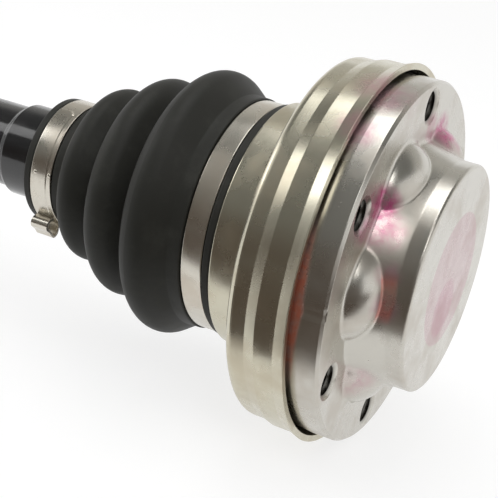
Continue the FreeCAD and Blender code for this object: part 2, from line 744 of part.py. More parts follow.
def make_clamp(name, place, seat, width, ear):
    """Sheet band with a crimped ear and an overlapping end, centred on place."""
    body = new_body(name)
    inner, outer = f"({seat})", f"({seat} + band_wall)"
    turned(
        body,
        "Band",
        [
            (f"-{width} / 2", inner),
            (f"-{width} / 2", f"{outer} - band_edge"),
            (f"-{width} / 2 + band_edge", outer),
            (f"{width} / 2 - band_edge", outer),
            (f"{width} / 2", f"{outer} - band_edge"),
            (f"{width} / 2", inner),
        ],
    )
    lap = turned(
        body,
        "Lap",
        [
            (f"-{width} / 2 + ear_margin", f"{inner} + band_edge"),
            (f"-{width} / 2 + ear_margin", f"{outer} + lap_rise"),
            (f"{width} / 2 - ear_margin", f"{outer} + lap_rise"),
            (f"{width} / 2 - ear_margin", f"{inner} + band_edge"),
        ],
        turn=f"{ear} + lap_turn",
    )
    lap.Midplane = True
    bind(lap, "Angle", "lap_sweep")
    sketch = new_sketch(
        body, "EarOutline", "YZ_Plane", turn=f"{ear} - 90", turn_axis=Vector(0, 0, 1)
    )
    foot, crown, top = f"({inner} + band_edge)", "ear_crown", f"({outer} + ear_height)"
    wall = "band_wall"
    low, high = f"({top} - ear_round)", f"({top} - {wall})"
    tight = f"(ear_round - {wall})"
    outline(
        sketch,
        [
            ("-ear_pinch", foot),
            (f"-{crown}", low),
            (f"-{crown} + ear_round", top, "ear_round", "right"),
            (f"{crown} - ear_round", top),
            (crown, low, "ear_round", "right"),
            ("ear_pinch", foot),
            (f"ear_pinch - {wall}", foot),
            (f"{crown} - {wall}", low),
            (f"{crown} - ear_round", high, tight, "left"),
            (f"-{crown} + ear_round", high),
            (f"-{crown} + {wall}", low, tight, "left"),
            (f"-ear_pinch + {wall}", foot),
        ],
    )
    pad = body.newObject("PartDesign::Pad", "Ear")
    pad.Profile = (sketch, [""])
    pad.SideType = "Symmetric"
    bind(pad, "Length", f"{width} - 2 * ear_margin")
    move_to(body, along=place)
    return body


# Bell of the fixed joint, in one piece with the stub axle


def make_bell():
    body = new_body("outboard_bell")
    back = "(bell_radius - bell_dome + sqrt(bell_dome^2 - (bell_floor - bell_back)^2))"
    shoulder_end = "(bell_floor + hub_shoulder_length)"
    thread_start = f"({SPLINE_END} + relief_length)"
    turned(
        body,
        "Blank",
        [
            ("bell_mouth", "0"),
            (f"-{STUB_END} + centre_depth + centre_hole", "0"),
            (f"-{STUB_END} + centre_depth", "centre_hole"),
            (f"-{STUB_END}", "centre_hole"),
            (f"-{STUB_END}", "thread_radius - stub_lead"),
            (f"-{STUB_END} + stub_lead", "thread_radius"),
            (f"-{thread_start}", "thread_radius"),
            (f"-{thread_start}", "relief_radius"),
            (f"-{SPLINE_END}", "relief_radius"),
            (f"-{SPLINE_END}", "stub_spline - stub_lead"),
            (f"-{SPLINE_END} + stub_lead", "stub_spline"),
            (f"-{STUB_ROOT}", "stub_spline"),
            (f"-{STUB_ROOT}", "stub_seat"),
            (f"-{shoulder_end}", "stub_seat"),
            (f"-{shoulder_end}", "hub_shoulder"),
            ("-bell_floor", "hub_shoulder"),
            ("-bell_floor", back),
            ("-bell_back", "bell_radius", "bell_dome", "right"),
            ("bell_front", "bell_radius"),
            ("bell_front", "bell_seat"),
            ("bell_mouth", "bell_seat"),
        ],
    )
    turned(
        body,
        "Cavity",
        [
            ("bell_mouth", "0"),
            (f"-{CAGE_BORE}", "0"),
            ("bell_throat", sphere_edge(CAGE_BORE, "bell_throat"), CAGE_BORE, "right"),
            ("bell_mouth", "bell_opening"),
        ],
        "Groove",
    )
    radius = "(ball_radius + bell_room)"
    sketch = new_sketch(
        body, "TrackOutline", "YZ_Plane", turn="bell_behind", turn_axis=Vector(0, 1, 0)
    )
    circle_at(sketch, "ball_circle", "0", radius)
    track = body.newObject("PartDesign::Groove", "Track")
    track.Profile = (sketch, [""])
    track.ReferenceAxis = (sketch, ["V_Axis"])
    track.Reversed = True
    bind(track, "Angle", "bell_ahead + bell_behind")
    end = body.newObject("PartDesign::SubtractiveSphere", "TrackEnd")
    bind(end, "Radius", radius)
    turn = "bell_behind * 1 deg"
    move_to(end, f"-ball_circle * sin({turn})", f"ball_circle * cos({turn})")
    repeated(body, "Tracks", [track, end])
    teeth = new_sketch(body, "ToothOutline", "YZ_Plane", lift=f"-{STUB_ROOT}")
    rise = "(stub_spline + spline_root)"
    outline(
        teeth,
        [
            ("-spline_top", "stub_spline"),
            ("-spline_top", rise),
            ("spline_top", rise),
            ("spline_top", "stub_spline"),
            ("spline_root", "stub_spline - spline_depth"),
            ("-spline_root", "stub_spline - spline_depth"),
        ],
    )
    groove = body.newObject("PartDesign::Pocket", "Groove")
    groove.Profile = (teeth, [""])
    bind(groove, "Length", "stub_spline_length")
    repeated(body, "Teeth", [groove], "spline_teeth")
    move_to(body, along=OUTBOARD)
    return body


def check_part(part):
    """Stop the build if a step of this piece failed or its shape is unsound."""
    steps = [part] + list(getattr(part, "Group", []))
    for step in steps:
        if "Invalid" in step.State or "Error" in step.State:
            raise RuntimeError(f"{part.Label}: {step.Name} failed")
    shape = part.Shape
    if shape.isNull() or not shape.isValid() or shape.Volume <= 0:
        raise RuntimeError(f"{part.Label}: the shape is not sound")
    if len(shape.Solids) != 1:
        raise RuntimeError(f"{part.Label}: {len(shape.Solids)} solids")


def main():
    large = f"boot_gap + boot_rim + {LARGE_SEAT} / 2"
    small = f"bead_width + {SMALL_SEAT} / 2"
    can_grip = "boot_seat + rubber_hold + 2 * seat_gap"
    bell_grip = "bell_seat + rubber_hold + 2 * seat_gap"
    collar_grip = f"{GRIP_RADIUS} + rubber_gap"
    parts = [
        make_flange_housing(),
        make_boot_can(),
        make_can_seal(),
        make_inner_race("inboard_inner_race", INBOARD, "race_half", "race_room", False),
        make_cage("inboard_cage", INBOARD),
        make_retaining_ring("inboard_retaining_ring", f"{INBOARD} + race_half + seat_gap"),
        make_shaft_bar(),
        make_inboard_boot(),
        make_clamp(
            "inboard_large_clamp", f"-(neck_end + {large})", can_grip, "large_band", "large_ear_turn"
        ),
        make_clamp(
            "inboard_small_clamp", f"-(boot_tail + {small})", collar_grip, "small_band", "ear_turn"
        ),
        make_outboard_boot(),
        make_clamp(
            "outboard_small_clamp",
            f"{OUTBOARD} + outer_tail + {small}",
            collar_grip,
            "small_band",
            "ear_turn",
        ),
        make_clamp(
            "outboard_large_clamp",
            f"{OUTBOARD} + bell_front + {large}",
            bell_grip,
            "large_band",
            "outboard_ear_turn",
        ),
        make_bell(),
        make_inner_race(
            "outboard_inner_race", OUTBOARD, "outer_race_half", "bell_room", True
        ),
        make_cage("outboard_cage", OUTBOARD),
        make_retaining_ring(
            "outboard_retaining_ring", f"{OUTBOARD} - outer_race_half - seat_gap - clip_width"
        ),
    ]
    for step in range(int(size("ways"))):
        parts.append(make_ball(f"inboard_ball_{step + 1}", INBOARD, step))
        parts.append(make_ball(f"outboard_ball_{step + 1}", OUTBOARD, step))
    document.recompute()
    os.makedirs("parts", exist_ok=True)
    for part in parts:
        check_part(part)
        part.Shape.exportStep(f"parts/{part.Label}.step")


main()
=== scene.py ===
"""Rear drive shaft dressed for a studio picture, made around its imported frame."""

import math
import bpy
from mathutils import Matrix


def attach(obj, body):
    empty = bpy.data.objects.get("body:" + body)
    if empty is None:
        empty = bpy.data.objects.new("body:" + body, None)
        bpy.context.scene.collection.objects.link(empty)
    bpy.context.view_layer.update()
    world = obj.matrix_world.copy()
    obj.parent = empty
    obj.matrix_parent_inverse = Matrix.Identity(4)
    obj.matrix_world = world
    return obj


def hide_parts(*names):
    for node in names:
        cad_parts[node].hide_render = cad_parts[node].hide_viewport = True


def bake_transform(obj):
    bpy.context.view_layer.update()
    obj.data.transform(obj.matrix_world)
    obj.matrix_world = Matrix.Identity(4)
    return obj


bl_info = {
    "name": "Drive Shaft",
    "version": (1, 0, 0),
    "blender": (4, 5, 0),
    "location": "View3D > Sidebar > Drive Shaft",
    "description": "Builds the visible surfaces and finishes of a rear drive shaft",
    "category": "Add Mesh",
}

import bmesh
import bpy
import numpy as np
from bpy.props import FloatProperty, FloatVectorProperty, PointerProperty
from mathutils import Matrix, Quaternion, Vector

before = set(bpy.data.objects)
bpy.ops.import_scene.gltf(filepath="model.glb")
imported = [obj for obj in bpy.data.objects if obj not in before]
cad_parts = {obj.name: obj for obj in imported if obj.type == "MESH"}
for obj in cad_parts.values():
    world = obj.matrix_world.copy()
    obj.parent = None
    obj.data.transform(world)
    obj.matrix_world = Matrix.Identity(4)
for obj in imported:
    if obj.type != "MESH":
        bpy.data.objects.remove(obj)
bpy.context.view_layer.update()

MM = 0.001
ROUND = 360  # steps round the shaft on a fine surface
ARC_STEPS = 7  # points on a rounded corner
WAYS = 6  # tracks, balls and bolt holes
BALL_CIRCLE = 30.0  # radius on which the balls run, in both joints
CAVITY = 33.9  # radius of both housings' inner spheres
INBOARD_CENTRE = -14.0
OUTBOARD_CENTRE = -470.0


# Sizes and colours that a user may change


def length(name, description, default, low, high):
    """Property of a length in metres."""
    return FloatProperty(name=name, description=description, default=default, min=low, max=high, unit="LENGTH")


def colour(name, description, *default):
    """Property of a base colour."""
    return FloatVectorProperty(
        name=name, description=description, default=default, min=0.0, max=1.0, subtype="COLOR"
    )


class ShaftSizes(bpy.types.PropertyGroup):
    """Lengths of the visible surfaces, in metres, read along and across the shaft."""

    flange_radius: length("Flange radius", "Outer radius of the bolting flange", 0.054, 0.05, 0.06)
    boss_radius: length("Boss radius", "Radius of the machined band of the boss", 0.0338, 0.030, 0.036)
    dome_height: length("Dome height", "How far a track dome stands out of the flange face", 0.0085, 0.004, 0.010)
    lip_radius: length("Lip radius", "Outer radius of the boot can's lip", 0.0572, 0.0565, 0.059)
    clamp_step: length("Clamp step", "Height of the clamp's overlapping end", 0.00025, 0.0, 0.0008)
    floor_drop: length("Floor drop", "Floor below the shaft axis", 0.0574, 0.0574, 0.2)


class ShaftColours(bpy.types.PropertyGroup):
    """Base colours of the finishes."""

    housing: colour("Housing", "Oiled satin steel of the forged housing", 0.58, 0.56, 0.51)
    can: colour("Can", "Warm plated sheet of the boot can", 0.60, 0.57, 0.46)
    clamp: colour("Clamps", "Stainless band of the clamps", 0.64, 0.61, 0.54)
    rubber: colour("Rubber", "Black rubber of the boots", 0.026, 0.026, 0.022)
    paint: colour("Paint", "Gloss paint of the bar", 0.008, 0.008, 0.009)
    dye: colour("Dye", "Residue of the crack-test dye", 0.55, 0.07, 0.24)
    stain: colour("Stain", "Red-brown stain beside the lip and the boss band", 0.60, 0.15, 0.08)


def sizes():
    return bpy.context.scene.drive_shaft_sizes


def colours():
    return bpy.context.scene.drive_shaft_colours


# Surfaces worked out as arrays, in millimetres


def rounded(corners, guard=0.15, longest=2.0):
    """Profile (x, radius) through corners (x, radius, rounding).

    A corner with a rounding becomes the arc that touches both of its straight
    runs. Every straight run gets a point near each end, so that shading stays
    flat on it, and further points no more than a longest run apart.
    """
    spots = [np.array(c[:2], float) for c in corners]
    path = [spots[0]]
    for before, spot, after, corner in zip(spots, spots[1:], spots[2:], corners[1:]):
        rounding = corner[2] if len(corner) > 2 else 0.0
        one, two = before - spot, after - spot
        near, far = np.linalg.norm(one), np.linalg.norm(two)
        one, two = one / near, two / far
        half = math.acos(float(np.clip(one @ two, -1, 1))) / 2
        if rounding <= 0 or half > math.pi / 2 - 0.02:
            path.append(spot)
            continue
        reach = min(rounding / math.tan(half), 0.49 * near, 0.49 * far)
        radius = reach * math.tan(half)
        middle = (one + two) / np.linalg.norm(one + two)
        centre = spot + middle * radius / math.sin(half)
        start, end = spot + one * reach - centre, spot + two * reach - centre
        share = np.linspace(0, 1, ARC_STEPS)[:, None]
        turn = math.pi - 2 * half
        arc = (np.sin((1 - share) * turn) * start + np.sin(share * turn) * end) / math.sin(turn)
        path.extend(centre + arc)
    path.append(spots[-1])
    return spaced(np.array(path), guard, longest)


def spaced(path, guard=0.15, longest=2.0):
    """The same path with more points on its long straight runs."""
    out = [path[:1]]
    for start, end in zip(path[:-1], path[1:]):
        run = float(np.linalg.norm(end - start))
        if run > 4 * guard:
            inner = max(2, int(math.ceil((run - 2 * guard) / longest)) + 1)
            share = np.linspace(guard / run, 1 - guard / run, inner)[:, None]
            out.append(start + share * (end - start))
        out.append(end[None, :])
    return np.concatenate(out)


def turns(count=ROUND):
    """Azimuths of a full turn about the shaft, from +Y towards +Z."""
    return np.linspace(0.0, 2 * math.pi, count, endpoint=False)


def wrapped(x, radius, azimuth):
    """Grid of points (x, radius cos, radius sin) from arrays that broadcast together."""
    return np.stack(np.broadcast_arrays(x, radius * np.cos(azimuth), radius * np.sin(azimuth)), axis=-1)


def spun(path, azimuth):
    """Grid [path, azimuth] of a profile (x, radius) turned about the shaft."""
    return wrapped(path[:, :1], path[:, 1:2], azimuth)


def polar_of(grid):
    """Azimuth and distance from the shaft of a grid's points."""
    return np.arctan2(grid[..., 2], grid[..., 1]), np.hypot(grid[..., 1], grid[..., 2])


def pushed(grid, share):
    """The grid with its distances from the shaft multiplied by a share."""
    return grid * np.stack([np.ones_like(share), share, share], axis=-1)


def off_way(azimuth):
    """Turn away from the nearest of the evenly spaced tracks."""
    step = 2 * math.pi / WAYS
    return (azimuth + step / 2) % step - step / 2


def grid_faces(rows, columns, wrap_rows, wrap_columns, offset):
    """Quads of a grid whose points are numbered row by row."""
    i = np.arange(rows if wrap_rows else rows - 1)[:, None]
    j = np.arange(columns if wrap_columns else columns - 1)[None, :]
    i, j = np.broadcast_arrays(i, j)
    up, over = (i + 1) % rows, (j + 1) % columns
    faces = np.stack(
        [i * columns + j, up * columns + j, up * columns + over, i * columns + over], axis=-1
    )
    return faces.reshape(-1, 4) + offset


def make_piece(name, grids, sharp=40.0, weld=0.0):
    """Object from grids [(points, wrap_rows, wrap_columns)] in millimetres.

    Rows that shrink to one point are closed there, and the whole shell is
    turned so that its volume is positive, which puts its faces outwards.
    """
    points, faces, offset = [], [], 0
    for grid, wrap_rows, wrap_columns in grids:
        rows, columns = grid.shape[:2]
        points.append(grid.reshape(-1, 3))
        faces.append(grid_faces(rows, columns, wrap_rows, wrap_columns, offset))
        offset += rows * columns
    points, faces = np.concatenate(points) * MM, np.concatenate(faces)
    mesh = bpy.data.meshes.new(name)
    mesh.from_pydata(points.tolist(), [], faces.tolist())
    work = bmesh.new()
    work.from_mesh(mesh)
    bmesh.ops.remove_doubles(work, verts=work.verts, dist=max(weld, 1e-7))
    bmesh.ops.dissolve_degenerate(work, edges=work.edges, dist=1e-8)
    bmesh.ops.recalc_face_normals(work, faces=work.faces)
    if work.calc_volume(signed=True) < 0:
        bmesh.ops.reverse_faces(work, faces=work.faces)
    work.to_mesh(mesh)
    work.free()
    mesh.shade_smooth()
    mesh.set_sharp_from_angle(angle=math.radians(sharp))
    piece = bpy.data.objects.new(name, mesh)
    bpy.context.scene.collection.objects.link(piece)
    return piece


def dress(piece, material, slot, body, *nodes):
    """Finish of a piece, its body and the CAD nodes it stands for; the slot argument is not used."""
    piece.data.materials.clear()
    piece.data.materials.append(material)
    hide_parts(*nodes)
    if body:
        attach(piece, body)
    return piece


# Flange housing

BOSS_FACE, BAND_FOOT, FOOT = 15.5, 10.5, 0.9  # stations of the boss, and height of its fillet
HOLE_BLOCK = (40.9, 53.0, 9.0)  # radii and half angle of the face round a bolt hole
BLOCK_ROWS = 13
HOLE_CIRCLE = 47.0
HOLE_RADIUS = 5.5
OPEN_END = -26.2  # station of the housing's open end


def dome_reach(x, azimuth, height):
    """Radius at which a ray leaves the track domes, or zero where it misses them.

    A dome is an ellipsoid centred on the ball circle: along each ray from the
    axis its equation is a quadratic in the radius, and the larger root counts.
    """
    off = off_way(azimuth)
    along, outwards, across = height + 3.5, 13.0, 15.0
    left = 1 - ((x + 3.5) / along) ** 2
    a = (np.cos(off) / outwards) ** 2 + (np.sin(off) / across) ** 2
    b = BALL_CIRCLE * np.cos(off) / outwards**2
    c = (BALL_CIRCLE / outwards) ** 2 - left
    inside = b**2 - a * c
    return np.where(inside > 0, (b + np.sqrt(np.maximum(inside, 0))) / a, 0.0)


def smooth_max(one, two, blend):
    """Larger of two fields, with a rounded valley where they meet."""
    gap = np.maximum(blend - np.abs(one - two), 0) / blend
    return np.maximum(one, two) + gap**2 * blend / 4


def wall_reach(x, azimuth, radius, height):
    """Outer radius of boss and domes together at a station along the shaft.

    The boss widens towards the flange by a power of the distance below its
    band, and a quarter circle joins the wall to the face.
    """
    boss = radius + 3.3 * (np.clip(BAND_FOOT - x, 0, None) / BAND_FOOT) ** 1.15
    joined = smooth_max(boss + 0 * azimuth, dome_reach(x, azimuth, height), 0.9)
    low = np.clip((FOOT - x) / FOOT, 0, 1)
    return joined + FOOT * (1 - np.sqrt(1 - low**2))


def front_grids(radius, height):
    """Grids of the boss face and band, of the walls with their domes, and of the flange face."""
    azimuth = turns()[None, :]
    top = rounded([(BOSS_FACE, 0.0), (BOSS_FACE, radius, 1.1), (BAND_FOOT, radius)])
    quarter = np.linspace(0, 1, 9)[1:] * math.pi / 2
    x = np.concatenate([np.linspace(BAND_FOOT, FOOT, 52), FOOT * np.cos(quarter)])
    x[-1] = 0.0
    wall = wall_reach(x[:, None], azimuth, radius, height)
    first = wall[-1]
    inner = np.maximum(HOLE_BLOCK[0], first + 0.45)
    share = np.linspace(0, 1, BLOCK_ROWS)[:, None]
    lead = np.linspace(0, 1, 4)[1:-1, None]
    rows = np.concatenate([first + lead * (inner - first), inner + share * (HOLE_BLOCK[1] - inner)])
    return spun(top, azimuth[0]), wrapped(x[:, None], wall, azimuth), wrapped(0.0, rows, azimuth)


def hole_blocks(flat):
    """Face grid with its cells round each hole taken out, and rings that fill them.

    The rings run in straight lines from the block's border to the hole's rim,
    whose points stand at the turns at which the border's points stand.
    """
    rows, columns = flat.shape[:2]
    first = rows - BLOCK_ROWS
    keep = np.ones((rows - 1, columns), bool)
    rings = []
    wide = int(round(HOLE_BLOCK[2]))
    for way in range(WAYS):
        middle = int(round((way + 0.5) * columns / WAYS))
        span = (np.arange(-wide, wide + 1) + middle) % columns
        keep[first:, span[:-1]] = False
        down = np.arange(first, rows)
        right, left = flat[down[1:], span[-1]], flat[down[::-1][1:-1], span[0]]
        border = np.concatenate([flat[first, span], right, flat[-1, span[::-1][1:]], left])
        turn = 2 * math.pi * middle / columns
        centre = np.array([0, HOLE_CIRCLE * math.cos(turn), HOLE_CIRCLE * math.sin(turn)])
        way_out = border - centre
        angle = np.arctan2(way_out[:, 2], way_out[:, 1])
        rim = centre + HOLE_RADIUS * np.stack([0 * angle, np.cos(angle), np.sin(angle)], axis=-1)
        share = (np.linspace(0, 1, 6) ** 0.7)[:, None, None]
        rings.append((border + share * (rim - border), False, True))
        rings.append((bored(centre, angle), False, True))
    return keep, rings


def bored(centre, angle):
    """Countersunk threaded hole behind its rim: rings of crest and root down to a cone."""
    crest, flank, root, pitch = 4.25, 4.6, 4.95, 1.5
    x = np.arange(-0.9, -19.0, -pitch / 4)
    thread = np.array([crest, flank, root, flank])[np.arange(len(x)) % 4]
    mouth, cone = [(0.0, HOLE_RADIUS), (-0.5, 5.0)], [(-20.0, crest), (-22.6, 0.0)]
    path = np.concatenate([mouth, np.stack([x, thread], axis=-1), cone])
    grid = np.zeros((len(path), len(angle), 3))
    grid[..., 0] = path[:, :1]
    grid[..., 1:] = centre[1:] + path[:, 1][:, None, None] * np.stack([np.cos(angle), np.sin(angle)], axis=-1)
    return grid


def track_reach(x, azimuth):
    """Radius of the cavity with its six ball tracks at a station along the shaft.

    A track is a tube along the shaft on the ball circle that ends in a ball,
    and the cavity is a cylinder and a sphere, of which the farthest wall counts.
    """
    off = off_way(azimuth)
    radius = np.sqrt(np.maximum(9.9**2 - np.maximum(x + 4.0, 0) ** 2, 0))
    inside = radius**2 - (BALL_CIRCLE * np.sin(off)) ** 2
    track = np.where(inside > 0, BALL_CIRCLE * np.cos(off) + np.sqrt(np.maximum(inside, 0)), 0)
    sphere = np.sqrt(np.maximum(CAVITY**2 - np.maximum(x + 9.0, 0) ** 2, 0))
    return np.maximum(np.maximum(sphere, 29.9), track)


def cavity_grid():
    """Grid from the open end of the housing inwards to the middle of its end wall."""
    azimuth = turns()[None, :]
    x = np.concatenate([np.linspace(OPEN_END, -4.0, 12), np.linspace(-3.0, 5.8, 12), [7.0, 12.0]])
    wall = track_reach(x[:, None], azimuth)
    end = np.linspace(29.9, 0.0, 8)[1:, None] + 0 * azimuth
    x = np.concatenate([x, np.full(len(end), 12.0)])[:, None]
    return wrapped(x, np.concatenate([wall, end]), azimuth)


def notched(grid, rim):
    """Index notch pressed into the flange rim on the -Y side."""
    turn, radius = polar_of(grid)
    across = np.abs((turn - math.radians(181.0) + math.pi) % (2 * math.pi) - math.pi) * rim
    walled = (radius > rim - 1.2) & (grid[..., 0] > -6.45)
    depth = 0.45 * np.clip((1.3 - across) / 0.35, 0, 1) * walled
    return pushed(grid, (radius - depth) / np.maximum(radius, 1e-9))


def housing_piece():
    """Closed shell: boss, domes, face with bolt holes, rim, seat, open end, cavity."""
    rim = sizes().flange_radius / MM
    top, sides, flat = front_grids(sizes().boss_radius / MM, sizes().dome_height / MM)
    keep, rings = hole_blocks(flat)
    edge = rounded(
        [(0, 53.0), (0, 53.2, 0.2), (-0.9, rim, 0.4), (-6.4, rim, 0.3), (-12.0, rim - 0.39, 0.3),
         (OPEN_END, 53.6, 1.2), (OPEN_END, 40.0)], longest=1.5)
    edge = edge[: np.argmax(edge[:, 0] <= OPEN_END + 1e-6) + 1]
    outside = notched(spun(edge, turns()), rim)
    inside = cavity_grid()
    close = np.stack([outside[-1], inside[0]])
    round_grids = [(grid, False, True) for grid in (top, sides, outside, close, inside)]
    return make_piece("housing", round_grids + rings + flat_cells(flat, keep, sides[-1]), sharp=32.0, weld=2e-6)


def flat_cells(flat, keep, foot):
    """Face grid as strips, without the cells that the hole blocks take."""
    full = np.concatenate([foot[None], flat])
    strips = []
    columns = flat.shape[1]
    solid = np.concatenate([np.ones((1, columns), bool), keep])
    open_rows = np.flatnonzero(~solid.all(axis=1))
    if open_rows[0] > 0:
        strips.append((full[: open_rows[0] + 1], False, True))
    kept = solid[open_rows[0]]
    starts = np.flatnonzero(kept & ~np.roll(kept, 1))
    for start in starts:
        run = 1
        while kept[(start + run) % columns]:
            run += 1
        picked = (np.arange(run + 1) + start) % columns
        strips.append((full[open_rows[0]:, picked], False, False))
    return strips


# Boot can


def can_piece():
    """Closed sheet section turned about the shaft."""
    lip = sizes().lip_radius / MM
    section = rounded(
        [(-23.0, 53.64), (-21.7, 53.64, 0.8), (-18.6, 54.5, 0.8), (-12.4, 54.5, 0.8), (-8.8, lip - 2.0, 0.15),
         (-8.8, lip - 0.6, 0.1), (-8.8, lip, 0.15), (-12.4, 56.0, 1.2), (-18.0, 56.0, 1.2), (-21.4, 55.03, 1.2),
         (-27.63, 55.03, 2.5), (-27.63, 37.6, 6.6), (-42.2, 37.6, 0.45), (-42.2, 32.2, 0.4), (-54.5, 32.2, 0.2),
         (-54.5, 30.8, 0.2), (-40.8, 30.8, 0.3), (-40.8, 36.2, 0.3), (-26.24, 36.2, 8.0), (-26.24, 53.64, 1.1),
         (-23.0, 53.64)], longest=1.6)
    return make_piece("can", [(spun(section[:-1], turns()), True, True)])


# Band clamps

BAND = 0.8  # thickness of a band
TONGUE_MARGIN = 1.7  # tongue narrower than its band, on one side


def clamp_piece(name, middle, inner, width, ear, lap, tabs):
    """Band with the tongue of its outer end lying on it, a crimped ear and small tabs.

    The tongue stands a step proud from its rounded end up to the ear, a margin
    narrower than the band on one side. Its height follows the distance inside
    its border: the least of the gaps to each side, and near the rounded end
    the corner's radius less the distance to the corner's centre.
    """
    step, outer, half, corner = sizes().clamp_step / MM, inner + BAND, width / 2, 2.2
    side = half - TONGUE_MARGIN
    section = rounded(
        [(0.0, inner), (half, inner, 0.25), (half, outer, 0.3), (side + 0.14, outer), (side - 0.14, outer),
         (-half, outer, 0.3), (-half, inner, 0.25), (0.0, inner)], guard=0.12, longest=0.7)[:-1]
    azimuth = turns(720)
    past = ((azimuth[None, :] - math.radians(lap)) % (2 * math.pi)) * outer
    reach = ((math.radians(ear) - azimuth[None, :]) % (2 * math.pi)) * outer
    over = side + 0.14 - section[:, :1] + 0 * past
    rounding = corner - np.hypot(corner - over, corner - past)
    gap = np.where((over < corner) & (past < corner), rounding, np.minimum(over, past))
    beyond = reach + past > 1.01 * math.radians((ear - lap) % 360) * outer
    gap = np.where(beyond, -1.0, np.minimum(gap, reach))
    rise = step * np.clip(gap / 0.28, 0, 1) * np.clip((section[:, 1:2] - inner - 0.3) / 0.2, 0, 1)
    band = wrapped(section[:, :1] + middle, section[:, 1:2] + rise, azimuth)
    bumps = [(tab_grid(middle + place, outer, turn), False, True) for place, turn in tabs]
    return make_piece(name, [(band, True, True), (ear_grid(middle, outer, half - 0.7, ear), True, False), *bumps])


def band_axes(turn):
    """Unit vectors across and up from the shaft at a turn in degrees."""
    turn = math.radians(turn)
    return np.array([0, -math.sin(turn), math.cos(turn)]), np.array([0, math.cos(turn), math.sin(turn)])


def tab_grid(place, outer, turn):
    """Small pressed tab: an ellipsoid centred on the band's surface."""
    size, height = 0.75, 0.55
    polar, around = np.linspace(0, math.pi, 11)[:, None, None], turns(18)[None, :, None]
    across, upward = band_axes(turn)
    ahead = np.array([1.0, 0, 0])
    flat = size * np.sin(polar) * (np.cos(around) * ahead + np.sin(around) * across)
    return flat + height * np.cos(polar) * upward + outer * upward + place * ahead


def ear_grid(middle, outer, half, ear):
    """Crimped ear: a strip bent like a horseshoe, its feet on the band, carried along x."""
    thick = 0.36
    leg = [(2.2, -0.35), (2.4, 0.5, 0.5), (3.9, 2.5, 1.6), (3.2, 4.55, 1.6)]
    bend = [(-a, *b) for a, *b in leg] + [(0.0, 4.2, 3.0)] + leg[::-1]
    path = rounded([(a, outer + b, *c) for a, b, *c in bend], longest=0.4)
    ahead = np.gradient(path, axis=0)
    ahead /= np.linalg.norm(ahead, axis=1)[:, None]
    side = np.stack([-ahead[:, 1], ahead[:, 0]], axis=-1)
    loop = np.concatenate([path + side * thick, (path - side * thick)[::-1]])
    x = np.concatenate([[-half], np.linspace(-half, half, 9), [half]])
    across, upward = band_axes(ear)
    flat = loop[:, :1] * across + loop[:, 1:2] * upward
    grid = flat[:, None, :] + np.zeros((1, len(x), 1))
    grid[..., 0] = middle + x
    core = np.concatenate([path, path[::-1]])
    ends = core[:, :1] * across + core[:, 1:2] * upward
    grid[:, 0, 1:], grid[:, -1, 1:] = ends[:, 1:], ends[:, 1:]
    return grid


# Boots


def folded(circles, wall):
    """Outer and inner profile of bellows from crest and valley circles.

    Circles are (x, radius of the surface's outermost or innermost point,
    rounding, +1 for a crest or -1 for a valley). Next circles are joined by
    their common tangent; its normal n gives the tangent points
    centre + side * rounding * n. The inner profile has the same normals with
    crests less and valleys more rounded by the wall.
    """
    data = np.array(circles, float)
    side, bend = data[:, 3], data[:, 2]
    centre = np.stack([data[:, 0], data[:, 1] - side * bend], axis=-1)
    gap = centre[1:] - centre[:-1]
    length = np.linalg.norm(gap, axis=1)
    lean = np.arccos(np.clip((side[:-1] * bend[:-1] - side[1:] * bend[1:]) / length * side[:-1], -1, 1))
    heading = np.arctan2(gap[:, 1], gap[:, 0])
    normal = heading - side[:-1] * lean
    normal = np.where(side[:-1] > 0, normal, normal + math.pi) % (2 * math.pi)
    normal = np.concatenate([[math.pi / 2], normal, [math.pi / 2]])
    outer, inner = [], []
    for index, (x, _, rounding, way) in enumerate(circles):
        turn = np.linspace(normal[index], normal[index + 1], 15)
        face = np.stack([np.cos(turn), np.sin(turn)], axis=-1)
        outer.append(centre[index] + way * rounding * face)
        inner.append(centre[index] + way * max(rounding - way * wall, 0.05) * face)
    return outer, inner


def flank_filled(parts):
    """Arcs joined into one path with even points on the straight flanks between."""
    path = [parts[0]]
    share = np.linspace(0, 1, 6)[1:-1, None]
    for before, after in zip(parts[:-1], parts[1:]):
        path.append(before[-1] + share * (after[0] - before[-1]))
        path.append(after)
    return np.concatenate(path)


def boot_grids(head, circles, tail, split=None, mirror=None, count=320):
    """Closed bellows shells; with a split, two that meet on that crest."""
    outer, inner = folded(circles, 2.0)
    groups = [(outer, inner, True, True)]
    if split is not None:
        middle = len(outer[split]) // 2
        first = [parts[:split] + [parts[split][: middle + 1]] for parts in (outer, inner)]
        last = [[parts[split][middle:]] + parts[split + 1 :] for parts in (outer, inner)]
        groups = [(*first, True, False), (*last, False, True)]
    grids = []
    for out_parts, in_parts, first, last in groups:
        loop = [head[0]] if first else []
        loop.append(flank_filled(out_parts))
        if last:
            loop.append(tail)
        loop.append(flank_filled(in_parts)[::-1])
        if first:
            loop.append(head[1])
        section = np.concatenate(loop)
        if mirror is not None:
            section = np.stack([2 * mirror - section[:, 0], section[:, 1]], axis=-1)
        grids.append(parted(spun(section, turns(count))))
    return grids


def parted(grid):
    """Fine raised line that the two halves of the mould leave, at two turns."""
    azimuth, radius = polar_of(grid)
    off = np.abs((azimuth - math.radians(20.0) + math.pi / 2) % math.pi - math.pi / 2)
    return pushed(grid, 1 + 0.09 * np.clip(1 - off * radius / 0.35, 0, 1) / radius)


